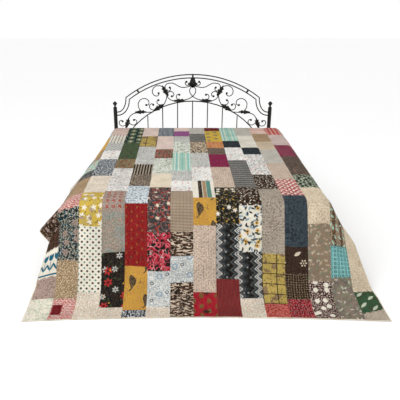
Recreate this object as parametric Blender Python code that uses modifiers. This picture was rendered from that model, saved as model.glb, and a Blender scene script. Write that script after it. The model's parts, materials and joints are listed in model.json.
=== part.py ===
# Patchwork quilt spread over a double bed with a wrought iron headboard.
# Metres, +Z up, +Y from the foot of the bed to its head, +X to the right of someone at the foot.

import math
from collections import namedtuple

import bmesh
import bpy
from mathutils import Euler, Matrix, Vector

# Quilt, flat: fifteen strips of patches sewn side by side.
QUILT_WIDTH = 2.286
QUILT_LENGTH = 2.743
STRIPS = 15
STRIP = QUILT_WIDTH / STRIPS
QUILT_THICK = 0.004
STRIP_PUFF = 0.0015
# Small bare patch of another cloth, sewn on near the hem: its sides, and its ends along the quilt.
SEWN_PATCH_SIDES = (-0.983, -0.921)
SEWN_PATCH_ENDS = (2.600, 2.692)
SEWN_PATCH_THICK = 0.001

# Bed.
MATTRESS_TOP = 0.590
MATTRESS_DEEP = 0.240
MATTRESS_WIDTH = 1.680
MATTRESS_LONG = 1.930
MATTRESS_ROUND = 0.045
MATTRESS_CORNER = 0.100
GAP = 0.0003
LAY_GAP = 0.0005

# How the cloth turns over the edge of the mattress: in a short bend, and in a long soft one toward the left corner.
SIDE_TURN_AT = 5.5 * STRIP
SIDE_TURN = 0.080
SOFT_TURN = 0.240
SOFTER_FROM = 0.60
SOFTER_OVER = 1.20
FOOT_TURN = 0.090
FOOT_SLOPE = math.radians(66)
LANDING = 0.280
FLAP = QUILT_WIDTH / 2 - SIDE_TURN_AT
# Height over the floor under which a flap starts to lie down.
SETTLE = 0.070
# How much further forward the corners of the hem lie than its middle.
HEM_BOW = 0.040
# Length along the quilt in which the side drape gives way to the foot drape.
CORNER_BLEND = 0.250
# How far the quilt stops short of the mattress's head end, and the room between that end and the posts.
QUILT_SHORT = 0.010
POST_ROOM = 0.008

# Headboard, seen from the foot; AT is the distance of its posts from the middle of the iron frame,
# which stands a little to the left of the middle of the mattress and the quilt.
POST_AT = 0.790
IRON_SHIFT = -0.040
POST_RADIUS = 0.019
POST_TOP = 0.806
FINIAL_TALL = 0.056
FINIAL_RADIUS = 0.024
RAIL_RADIUS = 0.006
BAR_RADIUS = 0.0045
SPINDLE_RADIUS = 0.005
SPINDLE_PITCH = 0.153
SPINDLES_A_SIDE = 4
ARCH_TOP = 1.128
SHOULDER = (0.675, 0.900)
RAIL_AT_POST = 0.751
RAIL_SPACING = 0.033
# The inner rail's shoulder lies lower than the outer one's by this share of their spacing.
SHOULDER_DROP = 0.55
LOWER_ARCH_TOP = 0.8635
LOWER_ARCH_RADIUS = 0.821
HEAD_RAIL_HEIGHT = 0.320
HEAD_RAIL_RADIUS = 0.0125

# Bed frame under the mattress.
LEG_RADIUS = 0.0175
LEG_INSET = 0.060
MIDDLE_LEG_RADIUS = 0.0125
MIDDLE_LEGS_AT = (0.30, 0.70)
ANGLE_IRON = 0.040
ANGLE_IRON_THICK = 0.004
SLATS = 11
SLAT_WIDTH = 0.070
SLAT_THICK = 0.014
SLAT_MARGIN = 0.090
BEAM = 0.030

CLOTH_LEVEL = MATTRESS_TOP + LAY_GAP
CLOTH_STEP = 0.004

# Slope of the cloth's two side flaps in degrees below level, where it lies along the quilt from its head.
Flap = namedtuple("Flap", "along left right")
FLAPS = (
    Flap(along=0.00, left=62, right=62),
    Flap(along=0.30, left=57, right=58),
    Flap(along=0.65, left=54, right=61),
    Flap(along=1.00, left=52, right=70),
    Flap(along=1.35, left=55, right=76),
    Flap(along=1.60, left=63, right=86),
    Flap(along=1.75, left=60, right=88),
    Flap(along=1.86, left=54, right=82),
    Flap(along=1.94, left=44, right=62),
    Flap(along=1.965, left=43, right=57),
    Flap(along=1.995, left=60, right=53),
    Flap(along=2.04, left=57, right=49),
    Flap(along=2.08, left=53, right=46),
    Flap(along=2.20, left=42, right=38),
    Flap(along=2.32, left=30, right=29),
    Flap(along=2.45, left=19, right=21),
    Flap(along=2.60, left=13, right=14),
    Flap(along=2.743, left=8, right=8),
)

# Soft folds down the foot of the quilt: place across from the middle, half width, height.
Fold = namedtuple("Fold", "across spread height")
FOOT_FOLDS = (
    Fold(across=-0.72, spread=0.060, height=0.013),
    Fold(across=-0.52, spread=0.075, height=-0.012),
    Fold(across=-0.30, spread=0.070, height=0.012),
    Fold(across=-0.06, spread=0.090, height=-0.009),
    Fold(across=0.17, spread=0.070, height=0.010),
    Fold(across=0.40, spread=0.080, height=-0.012),
    Fold(across=0.62, spread=0.060, height=0.013),
    Fold(across=0.79, spread=0.050, height=-0.008),
)
# Waves along the side flaps, with their start in radians.
Wave = namedtuple("Wave", "length height start")
SIDE_WAVES = (
    Wave(length=0.47, height=0.009, start=0.4),
    Wave(length=0.29, height=0.004, start=1.9),
)
# The ruffle where the left flap is pushed forward at the corner: place along, spread along, how far forward.
RUFFLE_AT = 1.945
RUFFLE_SPREAD = 0.045
RUFFLE_FORWARD = 0.055
# Where the tuck under the ruffle has opened out again.
TUCK_END = 2.060

# Forged scrolls of one side, seen flat: a stem of (distance from the middle, height) points, then a spiral
# around its eye, from its start angle through its turn, in degrees anticlockwise on the right-hand side.
Scroll = namedtuple("Scroll", "name stem eye reach start turn")
SCROLLS = (
    Scroll("post", ((0.657, 0.690), (0.672, 0.650)), (0.7255, 0.647), 0.046, -138, 260),
    Scroll(
        "low",
        ((0.400, 0.752), (0.474, 0.748), (0.545, 0.747), (0.605, 0.735), (0.640, 0.710), (0.655, 0.682)),
        (0.603, 0.660), 0.053, -6, -262,
    ),
    Scroll("wing", ((0.480, 0.748), (0.520, 0.753)), (0.477, 0.831), 0.081, -22, 258),
    Scroll("bud", ((0.385, 0.765),), (0.405, 0.8175), 0.045, -92, 212),
    Scroll(
        "main",
        (
            (0.330, 0.785), (0.303, 0.815), (0.281, 0.848), (0.265, 0.894),
            (0.262, 0.935), (0.274, 0.975), (0.297, 1.004),
        ),
        (0.3515, 0.947), 0.074, 106, -256,
    ),
    Scroll("thorn", ((0.292, 0.832),), (0.339, 0.8687), 0.046, -112, 140),
    Scroll("curl", ((0.262, 0.918),), (0.215, 0.9204), 0.046, 34, 207),
    Scroll("sprig", ((0.134, 0.868),), (0.133, 0.9187), 0.042, -68, 150),
    Scroll(
        "brow",
        ((0.012, 1.016), (0.080, 1.001), (0.125, 1.005), (0.165, 1.026), (0.205, 1.044)),
        (0.2387, 0.995), 0.047, 68, -276,
    ),
    Scroll("ear", ((0.014, 1.020),), (0.0577, 1.0498), 0.031, -124, 170),
)
# The strand that runs from the main scroll to the middle, where it crosses its mirror image.
LOOP = (
    (0.262, 0.935), (0.251, 0.900), (0.226, 0.878), (0.190, 0.866), (0.130, 0.8685), (0.075, 0.8765),
    (0.036, 0.889), (0.000, 0.9116), (-0.026, 0.945), (-0.030, 0.978), (-0.012, 1.012),
)
# Degrees of turn for each straight piece of a spiral, and the radius and easing of its inner end.
SPIRAL_STEP = 30
SPIRAL_END = 0.009
SPIRAL_EASE = 1.4
EYE_RADIUS = 0.0085

# Leaves cast on the scrolls: centre, length, width, lean in degrees.
Leaf = namedtuple("Leaf", "at long wide lean")
LEAVES = (
    Leaf((0.670, 0.640), 0.100, 0.026, 107),
    Leaf((0.527, 0.752), 0.110, 0.024, 176),
    Leaf((0.345, 0.797), 0.090, 0.030, 148),
    Leaf((0.280, 0.972), 0.110, 0.032, 60),
    Leaf((0.128, 0.8695), 0.120, 0.020, 176),
)
MIDDLE_LEAF = Leaf((0.0, 1.047), 0.096, 0.072, 90)
LEAF_THICK = 0.018
# The scrolls lie a little in front of or behind one another where they are lapped and welded.
LAPS = (0.0, 0.0009, -0.0007, 0.0004, -0.0011)
TIE_AT = 0.560
TIE_WIDE = 0.017


def clear_scene():
    for old in list(bpy.data.objects):
        bpy.data.objects.remove(old, do_unlink=True)


def make_material(name, colour, roughness, metallic=0.0):
    material = bpy.data.materials.new(name)
    material.use_nodes = True
    shader = material.node_tree.nodes["Principled BSDF"]
    shader.inputs["Base Color"].default_value = (*colour, 1)
    shader.inputs["Roughness"].default_value = roughness
    shader.inputs["Metallic"].default_value = metallic
    return material


def add_object(name, data, material, collection, parent):
    obj = bpy.data.objects.new(name, data)
    collection.objects.link(obj)
    obj.parent = parent
    if material is not None:
        data.materials.append(material)
    return obj


def smoothstep(value):
    value = min(max(value, 0.0), 1.0)
    return value * value * (3 - 2 * value)


def table_value(table, column, along):
    """A column of a table, read at that distance along on a smooth curve through its rows."""
    rows = [(row.along, getattr(row, column)) for row in table]
    after = 1
    while after < len(rows) - 1 and rows[after][0] < along:
        after += 1
    here, there = rows[after - 1], rows[after]
    before = rows[max(after - 2, 0)]
    beyond = rows[min(after + 1, len(rows) - 1)]
    run = there[0] - here[0]
    leave = (there[1] - before[1]) / (there[0] - before[0]) * run
    arrive = (beyond[1] - here[1]) / (beyond[0] - here[0]) * run
    t = min(max((along - here[0]) / run, 0.0), 1.0)
    return (
        here[1] * (2 * t ** 3 - 3 * t ** 2 + 1)
        + leave * (t ** 3 - 2 * t ** 2 + t)
        + there[1] * (3 * t ** 2 - 2 * t ** 3)
        + arrive * (t ** 3 - t ** 2)
    )


# Shape of the cloth.

FOOT_RADIUS = FOOT_TURN / FOOT_SLOPE
LANDING_RADIUS = LANDING / FOOT_SLOPE
TURN_DROP = FOOT_RADIUS * (1 - math.cos(FOOT_SLOPE))
LANDING_DROP = LANDING_RADIUS * (1 - math.cos(FOOT_SLOPE))
STEEP = (CLOTH_LEVEL - TURN_DROP - LANDING_DROP) / math.sin(FOOT_SLOPE)
TOP_LONG = MATTRESS_LONG - MATTRESS_ROUND - QUILT_SHORT
STEEP_FROM = TOP_LONG + FOOT_TURN
LANDING_FROM = STEEP_FROM + STEEP
FLOOR_FROM = LANDING_FROM + LANDING


def foot_profile(along):
    """How far forward of the foot turn and how high the cloth's middle is, at a distance from its head."""
    forward = 0.0
    height = CLOTH_LEVEL
    bend = min(max(along - TOP_LONG, 0.0), FOOT_TURN) / FOOT_RADIUS
    forward += FOOT_RADIUS * math.sin(bend)
    height -= FOOT_RADIUS * (1 - math.cos(bend))
    steep = min(max(along - STEEP_FROM, 0.0), STEEP)
    forward += steep * math.cos(FOOT_SLOPE)
    height -= steep * math.sin(FOOT_SLOPE)
    if along > LANDING_FROM:
        slope = FOOT_SLOPE - min(along - LANDING_FROM, LANDING) / LANDING_RADIUS
        forward += LANDING_RADIUS * (math.sin(FOOT_SLOPE) - math.sin(slope))
        height = LANDING_RADIUS * (1 - math.cos(slope))
    forward += max(along - FLOOR_FROM, 0.0)
    return forward, max(height, 0.0)


HEM_FORWARD = foot_profile(QUILT_LENGTH)[0] + HEM_BOW
BED_BACK = TOP_LONG + QUILT_SHORT + POST_ROOM + POST_RADIUS + FINIAL_RADIUS
TURN_Y = (HEM_FORWARD - BED_BACK) / 2
HEAD_Y = TURN_Y + TOP_LONG
FOOT_Y = HEAD_Y + QUILT_SHORT - MATTRESS_LONG
HEADBOARD_Y = TURN_Y + BED_BACK - FINIAL_RADIUS


def flap_section(out, slope, level, turn):
    """Sideways reach and drop of the cloth out past the start of its turn over the mattress's side."""
    reach = 0.0
    drop = 0.0
    done = 0.0
    while done < out - 1e-9:
        piece = min(CLOTH_STEP, out - done)
        turned = slope * min((done + piece / 2) / turn, 1.0)
        above = (level - drop) / SETTLE
        angle = turned * min(max(above, 0.0), 1.0)
        reach += piece * math.cos(angle)
        drop += piece * math.sin(angle)
        done += piece
    return reach, drop


def turn_length(side, along):
    """How much of the cloth is in its turn over the side of the mattress."""
    softer = smoothstep((along - SOFTER_FROM) / SOFTER_OVER) if side < 0 else 0.0
    return SIDE_TURN + (SOFT_TURN - SIDE_TURN) * softer


def drape(across, along):
    """The underside of the cloth at a point of the flat quilt."""
    forward, level = foot_profile(along)
    side = -1 if across < 0 else 1
    starts = SIDE_TURN_AT - SIDE_TURN / 2
    out = max(abs(across) - starts, 0.0)
    slope = math.radians(table_value(FLAPS, "left" if side < 0 else "right", along))
    reach, drop = flap_section(out, slope, level, turn_length(side, along))
    x = min(abs(across), starts) + reach
    y = TURN_Y - forward if along > TOP_LONG else HEAD_Y - along
    z = level - drop
    past_turn = smoothstep((along - TOP_LONG) / CORNER_BLEND)
    hung = past_turn * (1 - smoothstep((along - LANDING_FROM) / LANDING))
    for fold in FOOT_FOLDS:
        y -= fold.height * hung * math.exp(-(((across - fold.across) / fold.spread) ** 2))
    low_down = smoothstep((along - STEEP_FROM) / (QUILT_LENGTH - STEEP_FROM))
    y -= HEM_BOW * low_down * (2 * across / QUILT_WIDTH) ** 2
    if side < 0:
        pushed = math.exp(-(((along - RUFFLE_AT) / RUFFLE_SPREAD) ** 2))
        y -= RUFFLE_FORWARD * pushed * smoothstep(out / FLAP)
    hanging = smoothstep((out - SIDE_TURN) / FLAP) * (1 - past_turn)
    for wave in SIDE_WAVES:
        x += wave.height * hanging * (1 + math.sin(2 * math.pi * along / wave.length + wave.start + side))
    return Vector((side * x, y, max(z, 0.0)))


def facing(across, along):
    """Which way the cloth faces there."""
    sideways = drape(across + CLOTH_STEP, along) - drape(across - CLOTH_STEP, along)
    down = drape(across, along + CLOTH_STEP) - drape(across, along - CLOTH_STEP)
    return down.cross(sideways).normalized()


def between(marks, counts):
    """Places from mark to mark, each stretch cut into its own number of steps."""
    places = [marks[0]]
    for low, high, count in zip(marks, marks[1:], counts):
        places += [low + (high - low) * (i + 1) / count for i in range(count)]
    return places


def across_places():
    """A place at each seam, one in the middle of each strip, and more where the cloth turns down."""
    half = [(STRIPS / 2 - i / 2) * STRIP for i in range(STRIPS + 1)]
    turn = [SIDE_TURN_AT + SIDE_TURN * share for share in (-0.5, -0.25, 0.25, 0.5)]
    outer = sorted(place for place in half + turn if place > 1e-6)
    return [-place for place in reversed(outer)] + [0.0] + outer


def along_places():
    marks = (0.0, TOP_LONG, STEEP_FROM, TUCK_END, LANDING_FROM, FLOOR_FROM, QUILT_LENGTH)
    return between(marks, (16, 5, 4, 4, 7, 2))


def puff(across, along):
    """How far the filling lifts the cloth between two seams."""
    share = abs(math.sin(math.pi * (across / STRIP + STRIPS / 2)))
    on_floor = smoothstep((along - LANDING_FROM) / LANDING)
    return STRIP_PUFF * share * (1 - on_floor)


def quilt_point(across, along):
    """The underside of the quilt, lifted between its seams."""
    point = drape(across, along) + facing(across, along) * puff(across, along)
    point.z = max(point.z, 0.0)
    return point


def make_quilt(material, collection, parent):
    """One sheet, laid over the bed as a grid whose lines follow its seams."""
    columns = across_places()
    rows = along_places()
    shape = bmesh.new()
    bmesh.ops.create_grid(shape, x_segments=len(columns) - 1, y_segments=len(rows) - 1, size=1)
    for vertex in shape.verts:
        column = round((vertex.co.x + 1) / 2 * (len(columns) - 1))
        row = round((1 - vertex.co.y) / 2 * (len(rows) - 1))
        vertex.co = quilt_point(columns[column], rows[row])
    mesh = bpy.data.meshes.new("quilt")
    shape.to_mesh(mesh)
    shape.free()
    quilt = add_object("quilt", mesh, material, collection, parent)
    thick = quilt.modifiers.new("thickness", "SOLIDIFY")
    thick.thickness = QUILT_THICK
    thick.offset = 1
    mesh.shade_smooth()
    return quilt


def make_sewn_patch(material, collection, parent):
    """A small piece of cloth that lies on the quilt's grid where the cloth meets the floor."""
    columns = across_places()
    left = max(place for place in columns if place <= SEWN_PATCH_SIDES[0])
    right = min(place for place in columns if place >= SEWN_PATCH_SIDES[1])
    rows = [place for place in along_places() if SEWN_PATCH_ENDS[0] < place < SEWN_PATCH_ENDS[1]]
    rows.append(SEWN_PATCH_ENDS[1])
    shape = bmesh.new()
    bmesh.ops.create_grid(shape, x_segments=1, y_segments=len(rows) - 1, size=1)
    for vertex in shape.verts:
        across = SEWN_PATCH_SIDES[round((vertex.co.x + 1) / 2)]
        along = rows[round((1 - vertex.co.y) / 2 * (len(rows) - 1))]
        share = (across - left) / (right - left)
        below = quilt_point(left, along).lerp(quilt_point(right, along), share)
        vertex.co = below + facing(across, along) * (QUILT_THICK + GAP)
    mesh = bpy.data.meshes.new("sewn_patch")
    shape.to_mesh(mesh)
    shape.free()
    patch = add_object("sewn_patch", mesh, material, collection, parent)
    thick = patch.modifiers.new("thickness", "SOLIDIFY")
    thick.thickness = SEWN_PATCH_THICK
    thick.offset = 1
    return patch


# Bed.

def tube(name, points, radius, roundness, material, collection, parent):
    """A bar along a line of points, with four sides and two more for each step of roundness."""
    curve = bpy.data.curves.new(name, "CURVE")
    curve.dimensions = "3D"
    curve.twist_mode = "MINIMUM"
    spline = curve.splines.new("POLY")
    spline.points.add(len(points) - 1)
    for spot, point in zip(spline.points, points):
        spot.co = (*point, 1)
    curve.bevel_depth = radius
    curve.bevel_resolution = roundness
    curve.use_fill_caps = True
    return add_object(name, curve, material, collection, parent)


def box(name, centre, size, material, collection, parent, turn=0.0):
    shape = bmesh.new()
    bmesh.ops.create_cube(shape, size=1, matrix=Matrix.Diagonal((*size, 1)))
    mesh = bpy.data.meshes.new(name)
    shape.to_mesh(mesh)
    shape.free()
    obj = add_object(name, mesh, material, collection, parent)
    obj.location = centre
    obj.rotation_euler = Euler((0, turn, 0))
    return obj


def make_mattress(material, collection, parent):
    """A block with rounded corners and softened rims."""
    shape = bmesh.new()
    size = (MATTRESS_WIDTH, MATTRESS_LONG, MATTRESS_DEEP)
    bmesh.ops.create_cube(shape, size=1, matrix=Matrix.Diagonal((*size, 1)))
    upright = [e for e in shape.edges if abs((e.verts[0].co - e.verts[1].co).z) > MATTRESS_DEEP / 2]
    bmesh.ops.bevel(shape, geom=upright, offset=MATTRESS_CORNER, segments=5, profile=0.5, affect="EDGES")
    rims = [e for e in shape.edges if abs((e.verts[0].co - e.verts[1].co).z) < 1e-6]
    bmesh.ops.bevel(shape, geom=rims, offset=MATTRESS_ROUND, segments=3, profile=0.5, affect="EDGES")
    mesh = bpy.data.meshes.new("mattress")
    shape.to_mesh(mesh)
    shape.free()
    mattress = add_object("mattress", mesh, material, collection, parent)
    mattress.location = (0, FOOT_Y + MATTRESS_LONG / 2, MATTRESS_TOP - MATTRESS_DEEP / 2)
    mesh.shade_smooth()
    return mattress


def turned(name, profile, at, material, collection, parent, steps=16):
    """A turned piece from an outline of (radius, height) pairs, top to bottom."""
    mesh = bpy.data.meshes.new(name)
    mesh.from_pydata([(r, 0, z) for r, z in profile], [(i, i + 1) for i in range(len(profile) - 1)], [])
    obj = add_object(name, mesh, material, collection, parent)
    obj.location = (*at, 0)
    spin = obj.modifiers.new("turn", "SCREW")
    spin.steps = steps
    spin.render_steps = steps
    spin.use_merge_vertices = True
    spin.merge_threshold = 0.0001
    return obj


def make_posts(iron, collection, parent):
    """The two head posts with their diamond finials."""
    post = (
        (0, POST_TOP), (POST_RADIUS * 0.6, POST_TOP), (POST_RADIUS * 0.9, POST_TOP - 0.004),
        (POST_RADIUS, POST_TOP - 0.010), (POST_RADIUS, 0), (0, 0),
    )
    foot = POST_TOP + GAP
    outline = ((1.0, 0.0), (0.90, 0.45), (0.55, 1.0), (0.35, 0.62), (0.12, 0.36), (0.0, 0.36))
    diamond = [(FINIAL_RADIUS * wide, foot + FINIAL_TALL * up) for up, wide in outline] + [(0, foot)]
    for word, side in (("left", -1), ("right", 1)):
        at = (side * POST_AT, HEADBOARD_Y)
        turned("head_post_" + word, post, at, iron, collection, parent)
        turned("finial_" + word, diamond, at, iron, collection, parent, steps=8)


def arch_height(centre_height, radius, across):
    return centre_height + math.sqrt(radius * radius - across * across)


def arch_circle(top, across, height):
    """Radius and centre height of the circle through the arch's top and one more point."""
    rise = top - height
    radius = (across * across + rise * rise) / (2 * rise)
    return radius, top - radius


def upper_rail(inset):
    """The line of an arch rail, inset below the outer one: post, hollow shoulder, arch, and back."""
    shoulder_at = SHOULDER[0] - inset
    shoulder_height = SHOULDER[1] - inset * SHOULDER_DROP
    radius, centre = arch_circle(ARCH_TOP - inset, shoulder_at, shoulder_height)
    low = RAIL_AT_POST - inset
    half = [(POST_AT - POST_RADIUS - GAP, low)]
    end = half[0][0] - RAIL_RADIUS
    hollow_steps = 7
    for i in range(hollow_steps):
        angle = math.pi / 2 * (1 - i / hollow_steps)
        across = end - (end - shoulder_at) * math.cos(angle)
        height = shoulder_height - (shoulder_height - low) * math.sin(angle)
        half.append((across, height))
    arch_steps = 11
    for i in range(arch_steps):
        across = shoulder_at * (1 - i / arch_steps)
        half.append((across, arch_height(centre, radius, across)))
    line = [(-a, h) for a, h in half] + [(0, ARCH_TOP - inset)] + list(reversed(half))
    return [(a, HEADBOARD_Y, h) for a, h in line]


def lower_arch_height(across):
    return arch_height(LOWER_ARCH_TOP - LOWER_ARCH_RADIUS, LOWER_ARCH_RADIUS, across)


def lower_arch():
    """The plain arch that the spindles reach, down to where it lies along the posts."""
    end = POST_AT - POST_RADIUS - GAP - RAIL_RADIUS
    widest = math.asin(end / LOWER_ARCH_RADIUS)
    steps = 24
    angles = [widest * (2 * i / steps - 1) for i in range(steps + 1)]
    middle = LOWER_ARCH_TOP - LOWER_ARCH_RADIUS
    return [
        (LOWER_ARCH_RADIUS * math.sin(a), HEADBOARD_Y, middle + LOWER_ARCH_RADIUS * math.cos(a))
        for a in angles
    ]


def make_rails(iron, collection, parent):
    tube("arch_rail_outer", upper_rail(0.0), RAIL_RADIUS, 1, iron, collection, parent)
    end = POST_AT - POST_RADIUS - GAP
    rail = [(-end, HEADBOARD_Y, HEAD_RAIL_HEIGHT), (end, HEADBOARD_Y, HEAD_RAIL_HEIGHT)]
    tube("head_rail", rail, HEAD_RAIL_RADIUS, 2, iron, collection, parent)


def make_ties(iron, collection, parent):
    """Short blocks that join the two upper rails."""
    outer_radius, outer_centre = arch_circle(ARCH_TOP, *SHOULDER)
    inner_shoulder = (SHOULDER[0] - RAIL_SPACING, SHOULDER[1] - RAIL_SPACING * SHOULDER_DROP)
    inner_radius, inner_centre = arch_circle(ARCH_TOP - RAIL_SPACING, *inner_shoulder)
    for word, across in (("left", -TIE_AT), ("middle", 0.0), ("right", TIE_AT)):
        lean = math.asin(across / outer_radius)
        outer = Vector((across, 0, arch_height(outer_centre, outer_radius, across)))
        inward = Vector((-math.sin(lean), 0, -math.cos(lean)))
        # How far along the line inward the inner rail is met.
        offset = outer - Vector((0, 0, inner_centre))
        along = offset.dot(inward)
        distance = -along - math.sqrt(along ** 2 - offset.length_squared + inner_radius ** 2)
        middle = outer + inward * (distance / 2)
        size = (TIE_WIDE, 2 * RAIL_RADIUS, distance - 2 * (RAIL_RADIUS + GAP))
        box("tie_" + word, (middle.x, HEADBOARD_Y, middle.z), size, iron, collection, parent, turn=lean)


def make_spindles(iron, collection, parent):
    low = HEAD_RAIL_HEIGHT + HEAD_RAIL_RADIUS + GAP
    for i in range(-SPINDLES_A_SIDE, SPINDLES_A_SIDE + 1):
        across = i * SPINDLE_PITCH
        edge = abs(across) + SPINDLE_RADIUS
        lean = math.asin(edge / LOWER_ARCH_RADIUS)
        high = lower_arch_height(edge) - (RAIL_RADIUS + GAP) / math.cos(lean)
        points = [(across, HEADBOARD_Y, low), (across, HEADBOARD_Y, high)]
        tube(f"spindle_{i + SPINDLES_A_SIDE + 1}", points, SPINDLE_RADIUS, 2, iron, collection, parent)


# Forged scrollwork.

def smooth_line(points, steps):
    """Points on a smooth curve through the given ones."""
    ends = [points[0] * 2 - points[1]] + list(points) + [points[-1] * 2 - points[-2]]
    line = []
    for before, here, there, after in zip(ends, ends[1:], ends[2:], ends[3:]):
        for i in range(steps):
            t = i / steps
            line.append(
                0.5 * (
                    here * 2 + (there - before) * t
                    + (before * 2 - here * 5 + there * 4 - after) * t * t
                    + (here * 3 - before - there * 3 + after) * t * t * t
                )
            )
    return line + [points[-1]]


def spiral(scroll):
    """Points of the spiral from the stem into the eye."""
    steps = max(round(abs(scroll.turn) / SPIRAL_STEP), 4)
    points = []
    for i in range(steps + 1):
        share = i / steps
        angle = math.radians(scroll.start + scroll.turn * share)
        radius = scroll.reach + (SPIRAL_END - scroll.reach) * share ** SPIRAL_EASE
        points.append(Vector(scroll.eye) + radius * Vector((math.cos(angle), math.sin(angle))))
    return points


def scroll_line(scroll):
    stem = [Vector(point) for point in scroll.stem]
    joined = stem + spiral(scroll)[:1]
    start = smooth_line(joined, 2)[:-1] if len(stem) > 1 else stem
    return start + spiral(scroll)


def solid_of(obj):
    """The object's evaluated shape as a mesh with its caps welded, in the place of the object."""
    mesh = bpy.data.meshes.new_from_object(obj.evaluated_get(bpy.context.evaluated_depsgraph_get()))
    name = obj.name
    matrix = obj.matrix_world.copy()
    collections = list(obj.users_collection)
    bpy.data.objects.remove(obj)
    shape = bmesh.new()
    shape.from_mesh(mesh)
    bmesh.ops.remove_doubles(shape, verts=shape.verts, dist=0.00001)
    shape.to_mesh(mesh)
    shape.free()
    made = bpy.data.objects.new(name, mesh)
    made.matrix_world = matrix
    for collection in collections:
        collection.objects.link(made)
    return made


def flat_bar(name, line, side, collection, parent):
    """A scroll's bar in the plane of the headboard, on the left or the right."""
    points = [(side * p.x, HEADBOARD_Y, p.y) for p in line]
    return tube(name, points, BAR_RADIUS, 0, None, collection, parent)


def eye_ball(name, at, collection, parent):
    """The small ball that a scroll ends in."""
    shape = bmesh.new()
    bmesh.ops.create_icosphere(shape, subdivisions=1, radius=EYE_RADIUS)
    mesh = bpy.data.meshes.new(name)
    shape.to_mesh(mesh)
    shape.free()
    obj = add_object(name, mesh, None, collection, parent)
    obj.location = at
    return obj


def leaf_body(name, leaf, side, collection, parent):
    """The plain almond body of a cast leaf."""
    shape = bmesh.new()
    bmesh.ops.create_uvsphere(shape, u_segments=6, v_segments=6, radius=0.5)
    bmesh.ops.scale(shape, verts=shape.verts, vec=(leaf.wide, LEAF_THICK, leaf.long))
    mesh = bpy.data.meshes.new(name)
    shape.to_mesh(mesh)
    shape.free()
    obj = add_object(name, mesh, None, collection, parent)
    obj.location = (side * leaf.at[0], HEADBOARD_Y, leaf.at[1])
    obj.rotation_euler = Euler((0, side * math.radians(90 - leaf.lean), 0))
    return obj


def make_scrollwork(iron, collection, parent):
    """Scrolls, loops and leaves, forge-welded to the headboard's inner rail and lower arch as one piece."""
    welds = bpy.data.collections.new("ironwork pieces")
    bpy.context.scene.collection.children.link(welds)
    parts = [
        tube("arch_rail_inner", upper_rail(RAIL_SPACING), RAIL_RADIUS, 1, None, welds, parent),
        tube("lower_arch", lower_arch(), RAIL_RADIUS, 1, None, welds, parent),
    ]
    for side in (-1, 1):
        for scroll in SCROLLS:
            name = f"{scroll.name}{side}"
            parts.append(flat_bar(name, scroll_line(scroll), side, welds, parent))
            end = spiral(scroll)[-1]
            parts.append(eye_ball(name + "_eye", (side * end.x, HEADBOARD_Y, end.y), welds, parent))
        parts.append(flat_bar(f"loop{side}", smooth_line([Vector(p) for p in LOOP], 2), side, welds, parent))
        for number, leaf in enumerate(LEAVES):
            parts.append(leaf_body(f"leaf{number}{side}", leaf, side, welds, parent))
    for number, piece in enumerate(parts[2:]):
        piece.location.y += LAPS[number % len(LAPS)]
    bpy.context.view_layer.update()
    for piece in parts:
        solid_of(piece)
    whole = leaf_body("scrollwork", MIDDLE_LEAF, 1, collection, parent)
    whole.data.materials.append(iron)
    weld = whole.modifiers.new("forge welds", "BOOLEAN")
    weld.operation = "UNION"
    weld.operand_type = "COLLECTION"
    weld.collection = welds
    welds.hide_render = True
    for used in welds.objects:
        used.hide_render = True
        used.display_type = "WIRE"


# Frame that carries the mattress.

def angle_iron(name, start, end, inward, material, collection, parent):
    """An L section whose shelf points inward and carries the slats, and whose other leg hangs down."""
    thick = ANGLE_IRON_THICK
    wide = ANGLE_IRON
    outline = ((0, 0), (wide, 0), (wide, -thick), (thick, -thick), (thick, -wide), (0, -wide))
    run = Vector(end) - Vector(start)
    shape = bmesh.new()
    inwards = Vector(inward)
    ring = [shape.verts.new(Vector(start) + inwards * a + Vector((0, 0, b))) for a, b in outline]
    face = shape.faces.new(ring)
    grown = bmesh.ops.extrude_face_region(shape, geom=[face])
    moved = [item for item in grown["geom"] if isinstance(item, bmesh.types.BMVert)]
    bmesh.ops.translate(shape, verts=moved, vec=run)
    bmesh.ops.recalc_face_normals(shape, faces=shape.faces)
    mesh = bpy.data.meshes.new(name)
    shape.to_mesh(mesh)
    shape.free()
    return add_object(name, mesh, material, collection, parent)


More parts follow.
